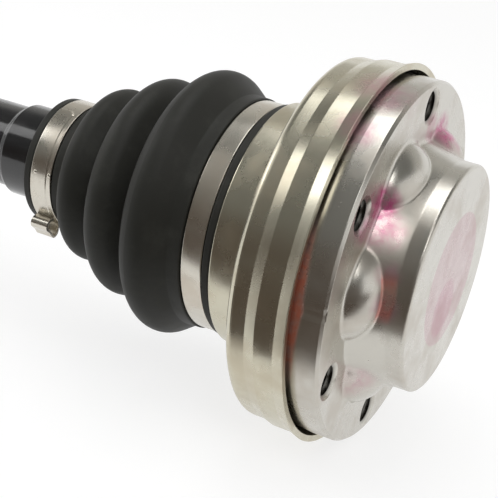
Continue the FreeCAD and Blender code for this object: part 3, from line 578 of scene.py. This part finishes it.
def inboard_boot_pieces():
    """Three-fold boot in two shells that meet on its first crest."""
    head_out = rounded(
        [(-42.6, 32.3), (-42.6, 36.35, 0.7), (-45.2, 36.35, 0.6), (-45.2, 35.03, 0.25),
         (-52.4, 35.03, 0.25), (-52.4, 36.35, 0.5), (-55.8, 36.4)], longest=1.0)[:-1]
    head_in = rounded([(-58.0, 34.0), (-56.4, 32.3, 0.8), (-42.7, 32.3)], longest=2.0)
    tail = rounded(
        [(-105.6, 20.4), (-107.7, 20.4, 0.4), (-107.7, 19.4, 0.2), (-115.7, 19.4, 0.2), (-115.7, 20.5, 0.4),
         (-118.3, 20.3, 0.6), (-118.3, 15.4, 0.3), (-106.0, 15.4)], longest=1.0)[1:]
    circles = [
        (-56.2, 36.5, 1.0, -1), (-65.6, 41.7, 6.2, 1), (-74.8, 29.5, 1.5, -1), (-82.8, 35.0, 5.4, 1),
        (-90.4, 23.8, 1.5, -1), (-98.0, 28.1, 4.2, 1), (-105.4, 20.4, 1.6, -1),
    ]
    grids = boot_grids((head_out, head_in), circles, tail, split=1)
    names = ("inboard_boot_front", "inboard_boot_rear")
    return [make_piece(n, [(g, True, True)]) for n, g in zip(names, grids)]


def outboard_boot_piece():
    """Five-fold boot, laid out as the inboard one and mirrored to the other side."""
    head_out = rounded(
        [(-13.9, 42.45), (-13.9, 46.5, 0.7), (-16.5, 46.5, 0.6), (-16.5, 45.23, 0.25), (-23.7, 45.23, 0.25),
         (-23.7, 46.5, 0.5), (-25.2, 46.5)], longest=1.0)[:-1]
    head_in = rounded([(-28.5, 43.6), (-27.0, 42.45, 0.8), (-14.0, 42.45)], longest=2.0)
    tail = rounded(
        [(-92.4, 20.4), (-94.5, 20.4, 0.4), (-94.5, 19.4, 0.2), (-102.5, 19.4, 0.2), (-102.5, 20.4, 0.4),
         (-105.1, 20.3, 0.6), (-105.1, 15.4, 0.3), (-93.0, 15.4)], longest=1.0)[1:]
    circles = [(-25.4, 46.4, 0.6, 1), (-28.6, 43.6, 1.2, -1)]
    for step in range(5):
        place, crest = -33.5 - 12.4 * step, 45.0 - 4.75 * step
        circles.append((place, crest, 3.9, 1))
        if step < 4:
            circles.append((place - 6.2, crest - 10.4, 1.6, -1))
    circles.append((-91.8, 20.4, 1.6, -1))
    shifted = [(x + OUTBOARD_CENTRE, r, q, s) for x, r, q, s in circles]
    move = np.array([OUTBOARD_CENTRE, 0.0])
    ends = (head_out + move, head_in + move)
    grids = boot_grids(ends, shifted, tail + move, mirror=OUTBOARD_CENTRE, count=160)
    return make_piece("outboard_boot_bellows", [(grids[0], True, True)])


# Painted bar


def bar_piece():
    """Turned bar with splined ends, shoulders, necks and boot collars."""
    ends = []
    for half, start, finish in ((13.0, 87.2, 117.0), (12.0, 88.0, 117.8)):
        tip, groove, neck = half + 3.09, half + 1.69, half + 6.03
        ends.append(
            [(-tip, 0.0), (-tip, 12.4, 1.0), (-groove, 12.4), (-groove, 11.1), (-half, 11.1), (-half, 12.4),
             (half + 0.03, 12.4), (half + 0.03, 13.6, 0.3), (neck, 13.6, 2.0), (neck + 12.0, 12.9, 2.0),
             (start - 2.0, 12.9, 2.0), (start, 15.1, 0.8), (finish, 15.1, 0.8), (finish + 2.0, 13.5, 1.5)])
    inboard = [(INBOARD_CENTRE - c[0],) + c[1:] for c in ends[0]]
    outboard = [(OUTBOARD_CENTRE + c[0],) + c[1:] for c in ends[1]]
    path = rounded(inboard + outboard[::-1], longest=6.0)
    return make_piece("bar", [(spun(path, turns(192)), False, True)])


# Bell with stub axle

TRACK_END = 106.0  # turn from the shaft's direction at which a ball track ends, in degrees
TEETH = 33
TOOTH_STEPS = 10
THREAD_PITCH = 1.5


def bell_reach(polar, azimuth):
    """Radius from the joint centre to the bell's inner wall along a direction.

    The wall is a sphere; each ball track is a tube bent about the joint centre
    that ends in a ball. With c the cosine of the angle between the ray and the
    tube's nearest point, the far wall lies at 30 c + sqrt(tube^2 - 30^2 (1 - c^2)).
    """
    off = off_way(azimuth)
    side = np.sin(polar) * np.sin(off)
    ahead = np.arctan2(np.sin(polar) * np.cos(off), np.cos(polar))
    near = np.sqrt(1 - side**2) * np.cos(np.maximum(ahead - math.radians(TRACK_END), 0))
    inside = 10.05**2 - BALL_CIRCLE**2 * (1 - near**2)
    track = BALL_CIRCLE * near + np.sqrt(np.maximum(inside, 0))
    return np.maximum(CAVITY, np.where(inside > 0, track, 0))


def stub_grid():
    """Grid of the stub axle: seat, splined length, relief, thread, end with a lathe centre.

    A tooth is a trapezoid wave of the turn. The thread's depth is a triangle
    wave of x / pitch less the turn, which makes one continuous ridge.
    """
    turn = turns(TEETH * TOOTH_STEPS)[None, :]
    wave = (np.arange(TEETH * TOOTH_STEPS) / TOOTH_STEPS) % 1.0
    groove = np.clip((np.abs(wave - 0.5) - 0.14) / 0.16, 0, 1)[None, :]
    seat = rounded([(-43.0, 0.0), (-43.0, 15.9), (-45.0, 15.9), (-45.0, 15.4, 0.4), (-52.0, 15.4, 0.4), (-52.4, 14.9)])
    x, top, deep = np.array(
        [(-52.5, 14.9, 0.6), (-54.0, 14.9, 1.0), (-75.0, 14.9, 1.0), (-98.0, 14.9, 1.0), (-100.6, 14.9, 1.0),
         (-101.9, 13.9, 0.3)]).T[..., None]
    relief = rounded([(-102.0, 13.8), (-102.0, 11.0, 0.4), (-106.0, 11.0, 0.4), (-106.0, 12.0, 0.3), (-106.4, 12.0)])
    along = np.arange(-106.5, -128.6, -THREAD_PITCH / 8)[:, None]
    ridge = np.abs(((along / THREAD_PITCH - turn / (2 * math.pi)) % 1.0) - 0.5) * 2
    fade = np.clip(np.minimum(-106.4 - along, along + 128.9) / 1.2, 0, 1)
    end = rounded(
        [(-128.7, 12.0), (-130.0, 10.8, 0.3), (-130.0, 2.5, 0.2), (-124.0, 2.5), (-121.5, 0.0)], longest=1.5)
    parts = [spun(seat, turn), wrapped(x, top - 1.1 * deep * groove, turn), spun(relief, turn),
             wrapped(along, 12.0 - 0.85 * ridge * fade, turn), spun(end, turn)]
    return np.concatenate(parts)


def bell_pieces():
    """Closed shells of the bell with its tracks and hub shoulder, and of the stub axle."""
    azimuth = turns()[None, :]
    sweep = np.linspace(0.0, math.asin(22.0 / 30.0), 30)[1:]
    dome = np.stack([-20.0 - 30.0 * np.sin(sweep), 16.0 + 30.0 * np.cos(sweep)], axis=-1)
    front = rounded(
        [(26.5, 33.6), (26.5, 38.0), (26.5, 42.4, 0.5), (13.5, 42.4, 0.3), (13.5, 46.0, 0.8), (-20.0, 46.0)],
        longest=2.5)
    back = rounded([dome[-1], (-42.0, 24.4, 1.2), (-43.0, 24.0, 0.4), (-45.0, 24.0, 0.4), (-45.0, 0.0)], longest=3.0)
    outside = spun(np.concatenate([front, dome, back[1:]]), azimuth[0])
    polar = np.linspace(math.acos(14.0 / CAVITY), math.pi, 46)[:, None]
    reach = bell_reach(polar, azimuth)
    inside = wrapped(reach * np.cos(polar), reach * np.sin(polar), azimuth)
    close = np.stack([outside[0], inside[0]])
    pieces = []
    for name, grids in (("bell", [outside, inside, close]), ("stub_axle", [stub_grid()])):
        for grid in grids:
            grid[..., 0] += OUTBOARD_CENTRE
        pieces.append(make_piece(name, [(grid, False, True) for grid in grids], sharp=30.0, weld=2e-6))
    return pieces


# Patterns, as node groups on object coordinates


def wire(tree, kind, inputs=None, **settings):
    """New node with its settings; a value in inputs is a number, a colour or another node's output."""
    node = tree.nodes.new(kind)
    for key, value in settings.items():
        setattr(node, key, value)
    for key, value in (inputs or {}).items():
        if isinstance(value, bpy.types.NodeSocket):
            tree.links.new(value, node.inputs[key])
        else:
            node.inputs[key].default_value = value
    return node


def sums(tree, operation, *values, clamp=False):
    """Output of a Math node."""
    return wire(tree, "ShaderNodeMath", dict(enumerate(values)), operation=operation, use_clamp=clamp).outputs[0]


def times(tree, first, *others):
    """Product of numbers and outputs, taken in their order."""
    for other in others:
        first = sums(tree, "MULTIPLY", first, other)
    return first


def raised_by(tree, start, value, share):
    """start + value * share."""
    return sums(tree, "ADD", start, times(tree, value, share))


def stepped(tree, value, low, high):
    """Value mapped to 0 at low and 1 at high, smoothly and with its ends held."""
    node = wire(
        tree, "ShaderNodeMapRange", {"Value": value, "From Min": low, "From Max": high}, interpolation_type="SMOOTHSTEP"
    )
    return node.outputs["Result"]


def mottle(tree, place, scale, detail, roughness):
    """Noise value at a place."""
    takes = {"Vector": place, "Scale": scale, "Detail": detail, "Roughness": roughness}
    return wire(tree, "ShaderNodeTexNoise", takes).outputs["Fac"]


def new_pattern(name, gives, takes=()):
    """Empty node group with its outputs' names and its inputs' (name, default), all of them numbers."""
    tree = bpy.data.node_groups.new(name, "ShaderNodeTree")
    for label, default in takes:
        tree.interface.new_socket(label, in_out="INPUT", socket_type="NodeSocketFloat").default_value = default
    for label in gives:
        tree.interface.new_socket(label, in_out="OUTPUT", socket_type="NodeSocketFloat")
    return tree, tree.nodes.new("NodeGroupInput").outputs, tree.nodes.new("NodeGroupOutput").inputs


def round_place(tree):
    """Object place, its length along the shaft, radius and turn in radians."""
    place = wire(tree, "ShaderNodeTexCoord").outputs["Object"]
    split = wire(tree, "ShaderNodeSeparateXYZ", {0: place}).outputs
    across = wire(tree, "ShaderNodeCombineXYZ", {"Y": split["Y"], "Z": split["Z"]}).outputs[0]
    radius = wire(tree, "ShaderNodeVectorMath", {0: across}, operation="LENGTH").outputs["Value"]
    turn = sums(tree, "ARCTAN2", split["Z"], split["Y"])
    return place, split["X"], radius, turn


def unrolled(tree, spots, rate, sweep):
    """Place laid flat: length and radius times a rate, and the turn times a sweep."""
    _, along, radius, turn = spots
    takes = {"X": times(tree, along, rate), "Y": times(tree, radius, rate), "Z": times(tree, turn, sweep)}
    return wire(tree, "ShaderNodeCombineXYZ", takes).outputs[0]


def turned_pattern():
    """Fine rings that a lathe leaves, uneven round the shaft."""
    tree, takes, gives = new_pattern("Turned rings", ("Rings", "Sweep"), [("Pitch", 0.0004)])
    spots = round_place(tree)
    rings = unrolled(tree, spots, sums(tree, "DIVIDE", 1.0, takes["Pitch"]), 0.7)
    tree.links.new(mottle(tree, rings, 1.0, 3.0, 0.6), gives["Rings"])
    tree.links.new(mottle(tree, unrolled(tree, spots, 160.0, 2.4), 1.0, 2.0, 0.5), gives["Sweep"])
    return tree


def patina_pattern():
    """Patches and streaks of dried oil and handling on bare steel."""
    tree, _, gives = new_pattern("Oil patina", ("Patches", "Streaks"))
    spots = round_place(tree)
    bent = wire(tree, "ShaderNodeVectorMath", {0: spots[0], 1: (0.31, 0.17, 0.05)}, operation="ADD").outputs["Vector"]
    tree.links.new(stepped(tree, mottle(tree, bent, 62.0, 5.0, 0.62), 0.42, 0.68), gives["Patches"])
    drawn = unrolled(tree, spots, 60.0, 9.0)
    tree.links.new(stepped(tree, mottle(tree, drawn, 1.0, 4.0, 0.6), 0.5, 0.72), gives["Streaks"])
    return tree


def edge_pattern():
    """Bright worn edges, from how sharply the surface turns."""
    tree, _, gives = new_pattern("Worn edges", ("Edge",))
    sharp = wire(tree, "ShaderNodeNewGeometry").outputs["Pointiness"]
    tree.links.new(stepped(tree, sharp, 0.515, 0.60), gives["Edge"])
    return tree


def dye_pattern():
    """Residue of test dye as soft balls round a few places, and two streaks of stain."""
    tree, _, gives = new_pattern("Dye residue", ("Dye", "Stain"))
    place, along, radius, turn = round_place(tree)
    cloud = stepped(tree, mottle(tree, place, 260.0, 5.0, 0.62), 0.34, 0.62)
    total = 0.0
    for spot, reach, amount, core in DYE_SPOTS:
        middle = tuple(MM * v for v in spot)
        gap = wire(tree, "ShaderNodeVectorMath", {0: place, 1: middle}, operation="DISTANCE").outputs["Value"]
        near = stepped(tree, gap, reach * MM, core * reach * MM)
        cloudy = 0.65 if core < 0.5 else 0.15
        shared = raised_by(tree, 1.0 - cloudy, cloud, cloudy)
        total = sums(tree, "MAXIMUM", total, times(tree, shared, times(tree, near, amount)))
    tree.links.new(total, gives["Dye"])
    total = 0.0
    for edge, inner, outer, middle, half, fade, amount in STAIN_STREAKS:
        off = sums(tree, "PINGPONG", sums(tree, "SUBTRACT", turn, middle), math.pi)
        band = times(
            tree,
            stepped(tree, raised_by(tree, along, off, 0.004), edge, edge - 0.0014),
            stepped(tree, radius, inner - 0.0006, inner),
            stepped(tree, radius, outer + 0.0003, outer),
            stepped(tree, along, -0.0140, -0.0125),
        )
        length = times(tree, amount, stepped(tree, off, half + fade, half))
        total = sums(tree, "MAXIMUM", total, times(tree, length, band))
    tree.links.new(times(tree, total, raised_by(tree, 0.65, cloud, 0.35)), gives["Stain"])
    return tree


def hole_shade_pattern():
    """Mask of painted shade in the bolt holes: behind the flange face and between two radii."""
    tree, _, gives = new_pattern("Painted hole shade", ("Depth",))
    _, along, radius, _ = round_place(tree)
    inside = times(tree, stepped(tree, radius, 0.0412, 0.0416), stepped(tree, radius, 0.0528, 0.0524))
    behind = times(tree, stepped(tree, along, -0.0003, -0.0012), stepped(tree, along, -0.024, -0.0235))
    tree.links.new(times(tree, inside, behind), gives["Depth"])
    return tree


def rubber_pattern():
    """Moulded rubber: grain, rings of flow along the folds and pale dust."""
    tree, _, gives = new_pattern("Moulded rubber", ("Grain", "Rings", "Dust"))
    spots = round_place(tree)
    tree.links.new(mottle(tree, spots[0], 1500.0, 3.0, 0.6), gives["Grain"])
    tree.links.new(mottle(tree, unrolled(tree, spots, 900.0, 1.0), 1.0, 2.0, 0.5), gives["Rings"])
    tree.links.new(stepped(tree, mottle(tree, spots[0], 90.0, 6.0, 0.7), 0.45, 0.78), gives["Dust"])
    return tree


# Spots as (place in mm, reach in mm, amount, share of the reach that is full)
DYE_SPOTS = [
    ((0.0, 13.0, 36.5), 9.0, 0.85, 0.3),
    ((0.0, 4.0, 40.0), 6.0, 0.4, 0.3),
    ((0.0, -28.5, 24.5), 7.0, 0.95, 0.4),
    ((3.0, -30.5, 18.5), 8.0, 0.55, 0.3),
    ((0.5, -38.5, 20.0), 7.0, 0.45, 0.3),
    ((-8.0, -18.0, 50.8), 11.0, 0.35, 0.3),
    ((-8.5, -33.0, 43.0), 8.0, 0.35, 0.3),
    ((0.0, -23.0, -26.0), 9.0, 0.35, 0.3),
    ((8.0, -33.8, 8.0), 5.0, 0.3, 0.3),
    ((8.4, -33.6, -1.0), 6.0, 0.35, 0.3),
    ((15.5, 2.5, -0.5), 20.5, 0.22, 0.96),
    ((15.5, 0.5, -9.0), 12.0, 0.38, 0.6),
]

# Streaks as (front end, inner radius, outer radius, middle turn, half turn, fade, amount)
STAIN_STREAKS = [
    (-0.0056, 0.0522, 0.0545, 3.16, 0.20, 0.34, 0.9),
    (0.0120, 0.0334, 0.0352, 3.10, 0.12, 0.12, 0.6),
]


def pattern(name):
    """Node group of that name, built when first asked for."""
    makers = {
        "Turned rings": turned_pattern,
        "Oil patina": patina_pattern,
        "Worn edges": edge_pattern,
        "Dye residue": dye_pattern,
        "Painted hole shade": hole_shade_pattern,
        "Moulded rubber": rubber_pattern,
    }
    return bpy.data.node_groups.get(name) or makers[name]()


def placed(tree, name, **values):
    """A pattern placed in a material; returns its outputs."""
    node = wire(tree, "ShaderNodeGroup", node_tree=pattern(name))
    for key, value in values.items():
        node.inputs[key].default_value = value
    return node.outputs


# Finishes


def new_finish(name, **values):
    """Material with one Principled BSDF; values fill its sockets."""
    material = bpy.data.materials.new(name)
    material.use_nodes = True
    tree = material.node_tree
    shader = tree.nodes["Principled BSDF"]
    for key, value in values.items():
        shader.inputs[key.replace("_", " ")].default_value = value
    return material, tree, shader.inputs


def tinted(tree, share, one, two):
    """Colour one at share 0 and colour two at share 1."""
    one, two = (c if isinstance(c, bpy.types.NodeSocket) else (*c[:3], 1.0) for c in (one, two))
    node = wire(tree, "ShaderNodeMix", {0: share, 6: one, 7: two}, data_type="RGBA")
    return node.outputs[2]


def raised(tree, height, strength, distance):
    """Normal of a bump whose height comes from a pattern."""
    takes = {"Height": height, "Strength": strength, "Distance": distance}
    return wire(tree, "ShaderNodeBump", takes).outputs["Normal"]


def steel_finish(name, colour, dull, shade, rings=0.0004, stain=0.5, bump=0.25, dye=False):
    """Bare oiled steel: turned rings, patina, worn edges and, where asked, dye with painted shade in the bolt holes."""
    material, tree, shader = new_finish(name, Metallic=1.0)
    marks, film = placed(tree, "Turned rings", Pitch=rings), placed(tree, "Oil patina")
    edges = times(tree, placed(tree, "Worn edges")["Edge"], 0.35)
    base = tinted(tree, times(tree, film["Patches"], stain), colour, [c * s for c, s in zip(colour, shade)])
    base = tinted(tree, times(tree, film["Streaks"], 0.3 * stain), base, [c * 0.62 for c in colour])
    base = tinted(tree, edges, base, [min(1, c * 1.25) for c in colour])
    rough = raised_by(tree, dull, film["Patches"], 0.12)
    rough = raised_by(tree, rough, sums(tree, "SUBTRACT", marks["Sweep"], 0.5), 0.16)
    if dye:
        masks = placed(tree, "Dye residue")
        base = tinted(tree, masks["Dye"], base, colours().dye)
        base = tinted(tree, masks["Stain"], base, colours().stain)
        # Painted shade: the bolt holes are darkened to 0.22 of the colour.
        base = tinted(tree, placed(tree, "Painted hole shade")["Depth"], base, [c * 0.22 for c in colour])
        film = sums(tree, "MAXIMUM", masks["Dye"], masks["Stain"])
        tree.links.new(sums(tree, "SUBTRACT", 1.0, times(tree, film, 0.6)), shader["Metallic"])
    tree.links.new(base, shader["Base Color"])
    tree.links.new(rough, shader["Roughness"])
    tree.links.new(raised(tree, marks["Rings"], bump, 0.00003), shader["Normal"])
    return material


def rubber_finish(name):
    """Matt moulded rubber with a little dust."""
    material, tree, shader = new_finish(name, IOR=1.5, Specular_IOR_Level=0.25)
    relief = placed(tree, "Moulded rubber")
    pale = [min(1.0, 2.1 * c + 0.004) for c in colours().rubber]
    tree.links.new(tinted(tree, times(tree, relief["Dust"], 0.5), colours().rubber, pale), shader["Base Color"])
    tree.links.new(raised_by(tree, 0.52, relief["Dust"], 0.14), shader["Roughness"])
    height = sums(tree, "ADD", times(tree, relief["Grain"], 0.4), relief["Rings"])
    tree.links.new(raised(tree, height, 0.3, 0.00006), shader["Normal"])
    return material


def paint_finish(name):
    """Gloss paint over a turned bar, with slight orange peel and scuffs."""
    material, tree, shader = new_finish(name, IOR=1.5, Coat_Weight=0.6, Coat_Roughness=0.04)
    film = placed(tree, "Oil patina")
    worn = [c + 0.02 for c in colours().paint]
    tree.links.new(tinted(tree, times(tree, film["Streaks"], 0.3), colours().paint, worn), shader["Base Color"])
    tree.links.new(raised_by(tree, 0.16, film["Patches"], 0.12), shader["Roughness"])
    place = wire(tree, "ShaderNodeTexCoord").outputs["Object"]
    tree.links.new(raised(tree, mottle(tree, place, 260.0, 2.0, 0.5), 0.15, 0.0002), shader["Normal"])
    return material


# Stage

WORLD_DIM = 0.55  # world's strength for the rays that light the part
FLOOR_GLOW = 0.74  # floor's strength for the rays that see it
CAMERA_PLACE = (0.09705, -0.33283, 0.11473)
CAMERA_RIGHT = (0.8821, 0.4427, 0.1611)
CAMERA_BACK = (0.3763, -0.8679, 0.3243)
CAMERA_LENS = 90.52


def camera_frame():
    """Right, up and back of the camera, square to each other."""
    back = Vector(CAMERA_BACK).normalized()
    up = back.cross(Vector(CAMERA_RIGHT)).normalized()
    return up.cross(back).normalized(), up, back


def add_camera():
    """Camera of the photograph: place, turn and lens fitted to drawn circles of the part."""
    camera = bpy.data.cameras.new("camera")
    camera.lens, camera.sensor_width = CAMERA_LENS, 36.0
    camera.clip_start, camera.clip_end = 0.01, 20.0
    holder = bpy.data.objects.new("camera", camera)
    right, up, back = camera_frame()
    turn = Matrix((right, up, back)).transposed().to_4x4()
    holder.matrix_world = Matrix.Translation(CAMERA_PLACE) @ turn
    bpy.context.scene.collection.objects.link(holder)
    bpy.context.scene.camera = holder


def add_lamp(name, towards, distance, wide, tall, power, roll=0.0):
    """Softbox in a direction from the joint, turned to look at it and rolled about that line."""
    way = Vector(towards).normalized()
    light = bpy.data.lights.new(name, "AREA")
    light.shape, light.size, light.size_y, light.energy = "RECTANGLE", wide, tall, power
    holder = bpy.data.objects.new(name, light)
    holder.location = Vector((-0.03, 0.0, 0.0)) + way * distance
    holder.rotation_mode = "QUATERNION"
    holder.rotation_quaternion = way.to_track_quat("Z", "Y") @ Quaternion((0.0, 0.0, 1.0), roll)
    holder.visible_camera = False
    bpy.context.scene.collection.objects.link(holder)


def seen_mask(tree):
    """1 for camera, glossy and transmission rays, which see the white room, and 0 for the rest."""
    path = wire(tree, "ShaderNodeLightPath").outputs
    seen = sums(tree, "ADD", path["Is Camera Ray"], path["Is Glossy Ray"])
    return sums(tree, "ADD", seen, path["Is Transmission Ray"], clamp=True)


def add_world():
    """Even white surroundings."""
    world = bpy.data.worlds.new("studio")
    world.use_nodes = True
    tree = world.node_tree
    backdrop = tree.nodes["Background"]
    backdrop.inputs["Color"].default_value = (1.0, 1.0, 1.0, 1.0)
    tree.links.new(raised_by(tree, WORLD_DIM, seen_mask(tree), 1.0 - WORLD_DIM), backdrop.inputs["Strength"])
    bpy.context.scene.world = world


def flat_mesh(name, corners):
    """Stage object of one flat face."""
    mesh = bpy.data.meshes.new(name)
    mesh.from_pydata(corners, [], [tuple(range(len(corners)))])
    piece = bpy.data.objects.new(name, mesh)
    bpy.context.scene.collection.objects.link(piece)
    return piece


def add_floor():
    """Wide pale floor under the part, seen as white and still keeping its shadow."""
    reach, drop = 3.0, sizes().floor_drop
    floor = flat_mesh("floor", [(reach * x, reach * y, -drop) for x, y in ((-1, -1), (1, -1), (1, 1), (-1, 1))])
    material, tree, shader = new_finish(
        "Pale floor", Base_Color=(0.30, 0.30, 0.30, 1.0), Roughness=0.9, Emission_Color=(1.0, 1.0, 1.0, 1.0)
    )
    tree.links.new(times(tree, seen_mask(tree), FLOOR_GLOW), shader["Emission Strength"])
    floor.data.materials.append(material)


def add_screen(name, corners, axis, low, high):
    """Grey screen that only reflections show, as a photographer flags a shiny part.

    low and high are (place along the axis in metres, colour); between the two
    places the colour runs from one to the other.
    """
    screen = flat_mesh(name, corners)
    material, tree, shader = new_finish(
        name, Base_Color=(0.0, 0.0, 0.0, 1.0), Roughness=1.0, Specular_IOR_Level=0.0, Emission_Strength=1.0
    )
    place = wire(tree, "ShaderNodeSeparateXYZ", {0: wire(tree, "ShaderNodeTexCoord").outputs["Object"]}).outputs[axis]
    shade = tinted(tree, stepped(tree, place, low[0], high[0]), low[1], high[1])
    tree.links.new(shade, shader["Emission Color"])
    screen.data.materials.append(material)
    screen.visible_camera = screen.visible_diffuse = screen.visible_shadow = False
    screen.visible_transmission = screen.visible_volume_scatter = False


# Operators


class StageOperator(bpy.types.Operator):
    """Camera, soft lamps, white surroundings and floor."""

    bl_idname = "drive_shaft.stage"
    bl_label = "Stage"

    def execute(self, context):
        context.scene.view_settings.view_transform = "Standard"
        add_camera()
        add_lamp("top softbox", (-0.09, -0.03, 0.95), 0.93, 0.78, 0.36, 2.3)
        add_lamp("left softbox", (-0.79, -0.27, 0.53), 0.90, 0.30, 0.60, 1.3, roll=math.radians(-52.0))
        add_lamp("front softbox", (0.42, -0.60, 0.68), 0.90, 0.34, 0.40, 1.1)
        low, near, side, high, half = -0.0565, -0.075, -0.9, 1.0, 1.6
        dark, brown, grey = (0.20, 0.20, 0.19), (0.115, 0.095, 0.08), (0.58, 0.57, 0.54)
        ground = [(-half, side, low), (half, side, low), (half, near, low), (-0.06, near, low), (-0.16, -0.16, low)]
        wall = [(-half, side, low), (half, side, low), (half, side, high), (-half, side, high)]
        cover = [(-half, side, high), (half, side, high), (half, 2.0, high), (-half, 2.0, high)]
        add_screen("floor screen", ground, "Y", (side, dark), (-0.3, brown))
        add_screen("side screen", wall, "Z", (0.0, brown), (0.5, dark))
        add_screen("ceiling", cover, "Y", (0.3, dark), (1.0, grey))
        add_world()
        add_floor()
        return {"FINISHED"}


class HousingOperator(bpy.types.Operator):
    """Flange housing with its six track domes and threaded holes."""

    bl_idname = "drive_shaft.housing"
    bl_label = "Flange housing"

    def execute(self, context):
        finish = steel_finish("Oiled forging", colours().housing, 0.25, (0.84, 0.76, 0.70), stain=0.4, dye=True)
        dress(housing_piece(), finish, "forged_housing", "housing", "flange_housing")
        return {"FINISHED"}


class CanOperator(bpy.types.Operator):
    """Pressed boot can."""

    bl_idname = "drive_shaft.can"
    bl_label = "Boot can"

    def execute(self, context):
        finish = steel_finish(
            "Plated sheet", colours().can, 0.24, (0.84, 0.74, 0.64), rings=0.0009, stain=0.4, bump=0.10, dye=True
        )
        dress(can_piece(), finish, "boot_can", "housing", "boot_can")
        return {"FINISHED"}


class BootsOperator(bpy.types.Operator):
    """Rubber boots between the bodies that they join."""

    bl_idname = "drive_shaft.boots"
    bl_label = "Boots"

    def execute(self, context):
        finish = rubber_finish("Moulded rubber")
        front, rear = (dress(p, finish, "boot_rubber", None, "inboard_boot") for p in inboard_boot_pieces())
        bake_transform(front)
        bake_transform(rear)
        back = dress(outboard_boot_piece(), finish, "boot_rubber", None, "outboard_boot")
        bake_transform(back)
        return {"FINISHED"}


class ClampsOperator(bpy.types.Operator):
    """Four stainless band clamps with crimped ears."""

    bl_idname = "drive_shaft.clamps"
    bl_label = "Clamps"

    def execute(self, context):
        finish = steel_finish(
            "Stainless band", colours().clamp, 0.23, (0.80, 0.68, 0.58), rings=0.0012, stain=0.35, bump=0.06
        )
        large, small = 6.6, 7.4
        tabs = ((-2.0, 177.6), (3.0, 177.6))
        for name, body, middle, inner, width, ear, lap, marks in (
            ("inboard_large_clamp", "housing", -48.8, 35.06, large, 340.0, 285.0, ()),
            ("inboard_small_clamp", "shaft", -111.7, 19.7, small, 230.0, 112.0, tabs),
            ("outboard_small_clamp", "shaft", -371.5, 19.7, small, 230.0, 112.0, tabs),
            ("outboard_large_clamp", "bell", -449.9, 45.26, large, 270.0, 215.0, ()),
        ):
            piece = clamp_piece(name + "_band", middle, inner, width, ear, lap, marks)
            dress(piece, finish, "clamp_steel", body, name)
        return {"FINISHED"}


class BarOperator(bpy.types.Operator):
    """Painted bar with splined ends."""

    bl_idname = "drive_shaft.bar"
    bl_label = "Bar"

    def execute(self, context):
        dress(bar_piece(), paint_finish("Gloss black paint"), "black_paint", "shaft", "shaft_bar")
        return {"FINISHED"}


class BellOperator(bpy.types.Operator):
    """Bell of the fixed joint with its splined and threaded stub axle."""

    bl_idname = "drive_shaft.bell"
    bl_label = "Bell"

    def execute(self, context):
        finish = steel_finish("Turned bell", [0.9 * c for c in colours().housing], 0.3, (0.74, 0.64, 0.56))
        for piece in bell_pieces():
            dress(piece, finish, "bell_steel", "bell", "outboard_bell")
        return {"FINISHED"}


class InsidesOperator(bpy.types.Operator):
    """Finishes of the pieces inside the joints, which keep their solids."""

    bl_idname = "drive_shaft.insides"
    bl_label = "Joint insides"

    def execute(self, context):
        ground = steel_finish("Ground race", (0.55, 0.53, 0.50), 0.24, (0.78, 0.70, 0.62), bump=0.1)
        cage = steel_finish("Hardened cage", (0.40, 0.39, 0.37), 0.34, (0.74, 0.66, 0.58), bump=0.15)
        ball = steel_finish("Bearing ball", (0.72, 0.72, 0.71), 0.06, (0.94, 0.92, 0.90), stain=0.1, bump=0.0)
        ring = steel_finish("Phosphated ring", (0.14, 0.135, 0.13), 0.45, (0.8, 0.76, 0.72), bump=0.2)
        seal = rubber_finish("Seal rubber")
        finishes = {"race": ground, "cage": cage, "ball": ball, "ring": ring, "seal": seal}
        for name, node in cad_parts.items():
            for word, finish in finishes.items():
                if word in name:
                    node.data.materials.clear()
                    node.data.materials.append(finish)
        return {"FINISHED"}


OPERATORS = (
    StageOperator,
    HousingOperator,
    CanOperator,
    BootsOperator,
    ClampsOperator,
    BarOperator,
    BellOperator,
    InsidesOperator,
)


class ShaftPanel(bpy.types.Panel):
    """Sizes, colours and one button for each group of pieces."""

    bl_label = "Drive Shaft"
    bl_idname = "VIEW3D_PT_drive_shaft"
    bl_space_type = "VIEW_3D"
    bl_region_type = "UI"
    bl_category = "Drive Shaft"

    def draw(self, context):
        layout = self.layout
        for group in (context.scene.drive_shaft_sizes, context.scene.drive_shaft_colours):
            box = layout.box()
            for key in group.__annotations__:
                box.prop(group, key)
        for operator in OPERATORS:
            layout.operator(operator.bl_idname)


CLASSES = (ShaftSizes, ShaftColours, *OPERATORS, ShaftPanel)


def register():
    for made in CLASSES:
        bpy.utils.register_class(made)
    bpy.types.Scene.drive_shaft_sizes = PointerProperty(type=ShaftSizes)
    bpy.types.Scene.drive_shaft_colours = PointerProperty(type=ShaftColours)


def unregister():
    del bpy.types.Scene.drive_shaft_colours
    del bpy.types.Scene.drive_shaft_sizes
    for made in reversed(CLASSES):
        bpy.utils.unregister_class(made)


def main():
    """Builds the stage and every piece."""
    register()
    bpy.ops.drive_shaft.stage()
    bpy.ops.drive_shaft.housing()
    bpy.ops.drive_shaft.can()
    bpy.ops.drive_shaft.boots()
    bpy.ops.drive_shaft.clamps()
    bpy.ops.drive_shaft.bar()
    bpy.ops.drive_shaft.bell()
    bpy.ops.drive_shaft.insides()


if __name__ == "__main__":
    main()
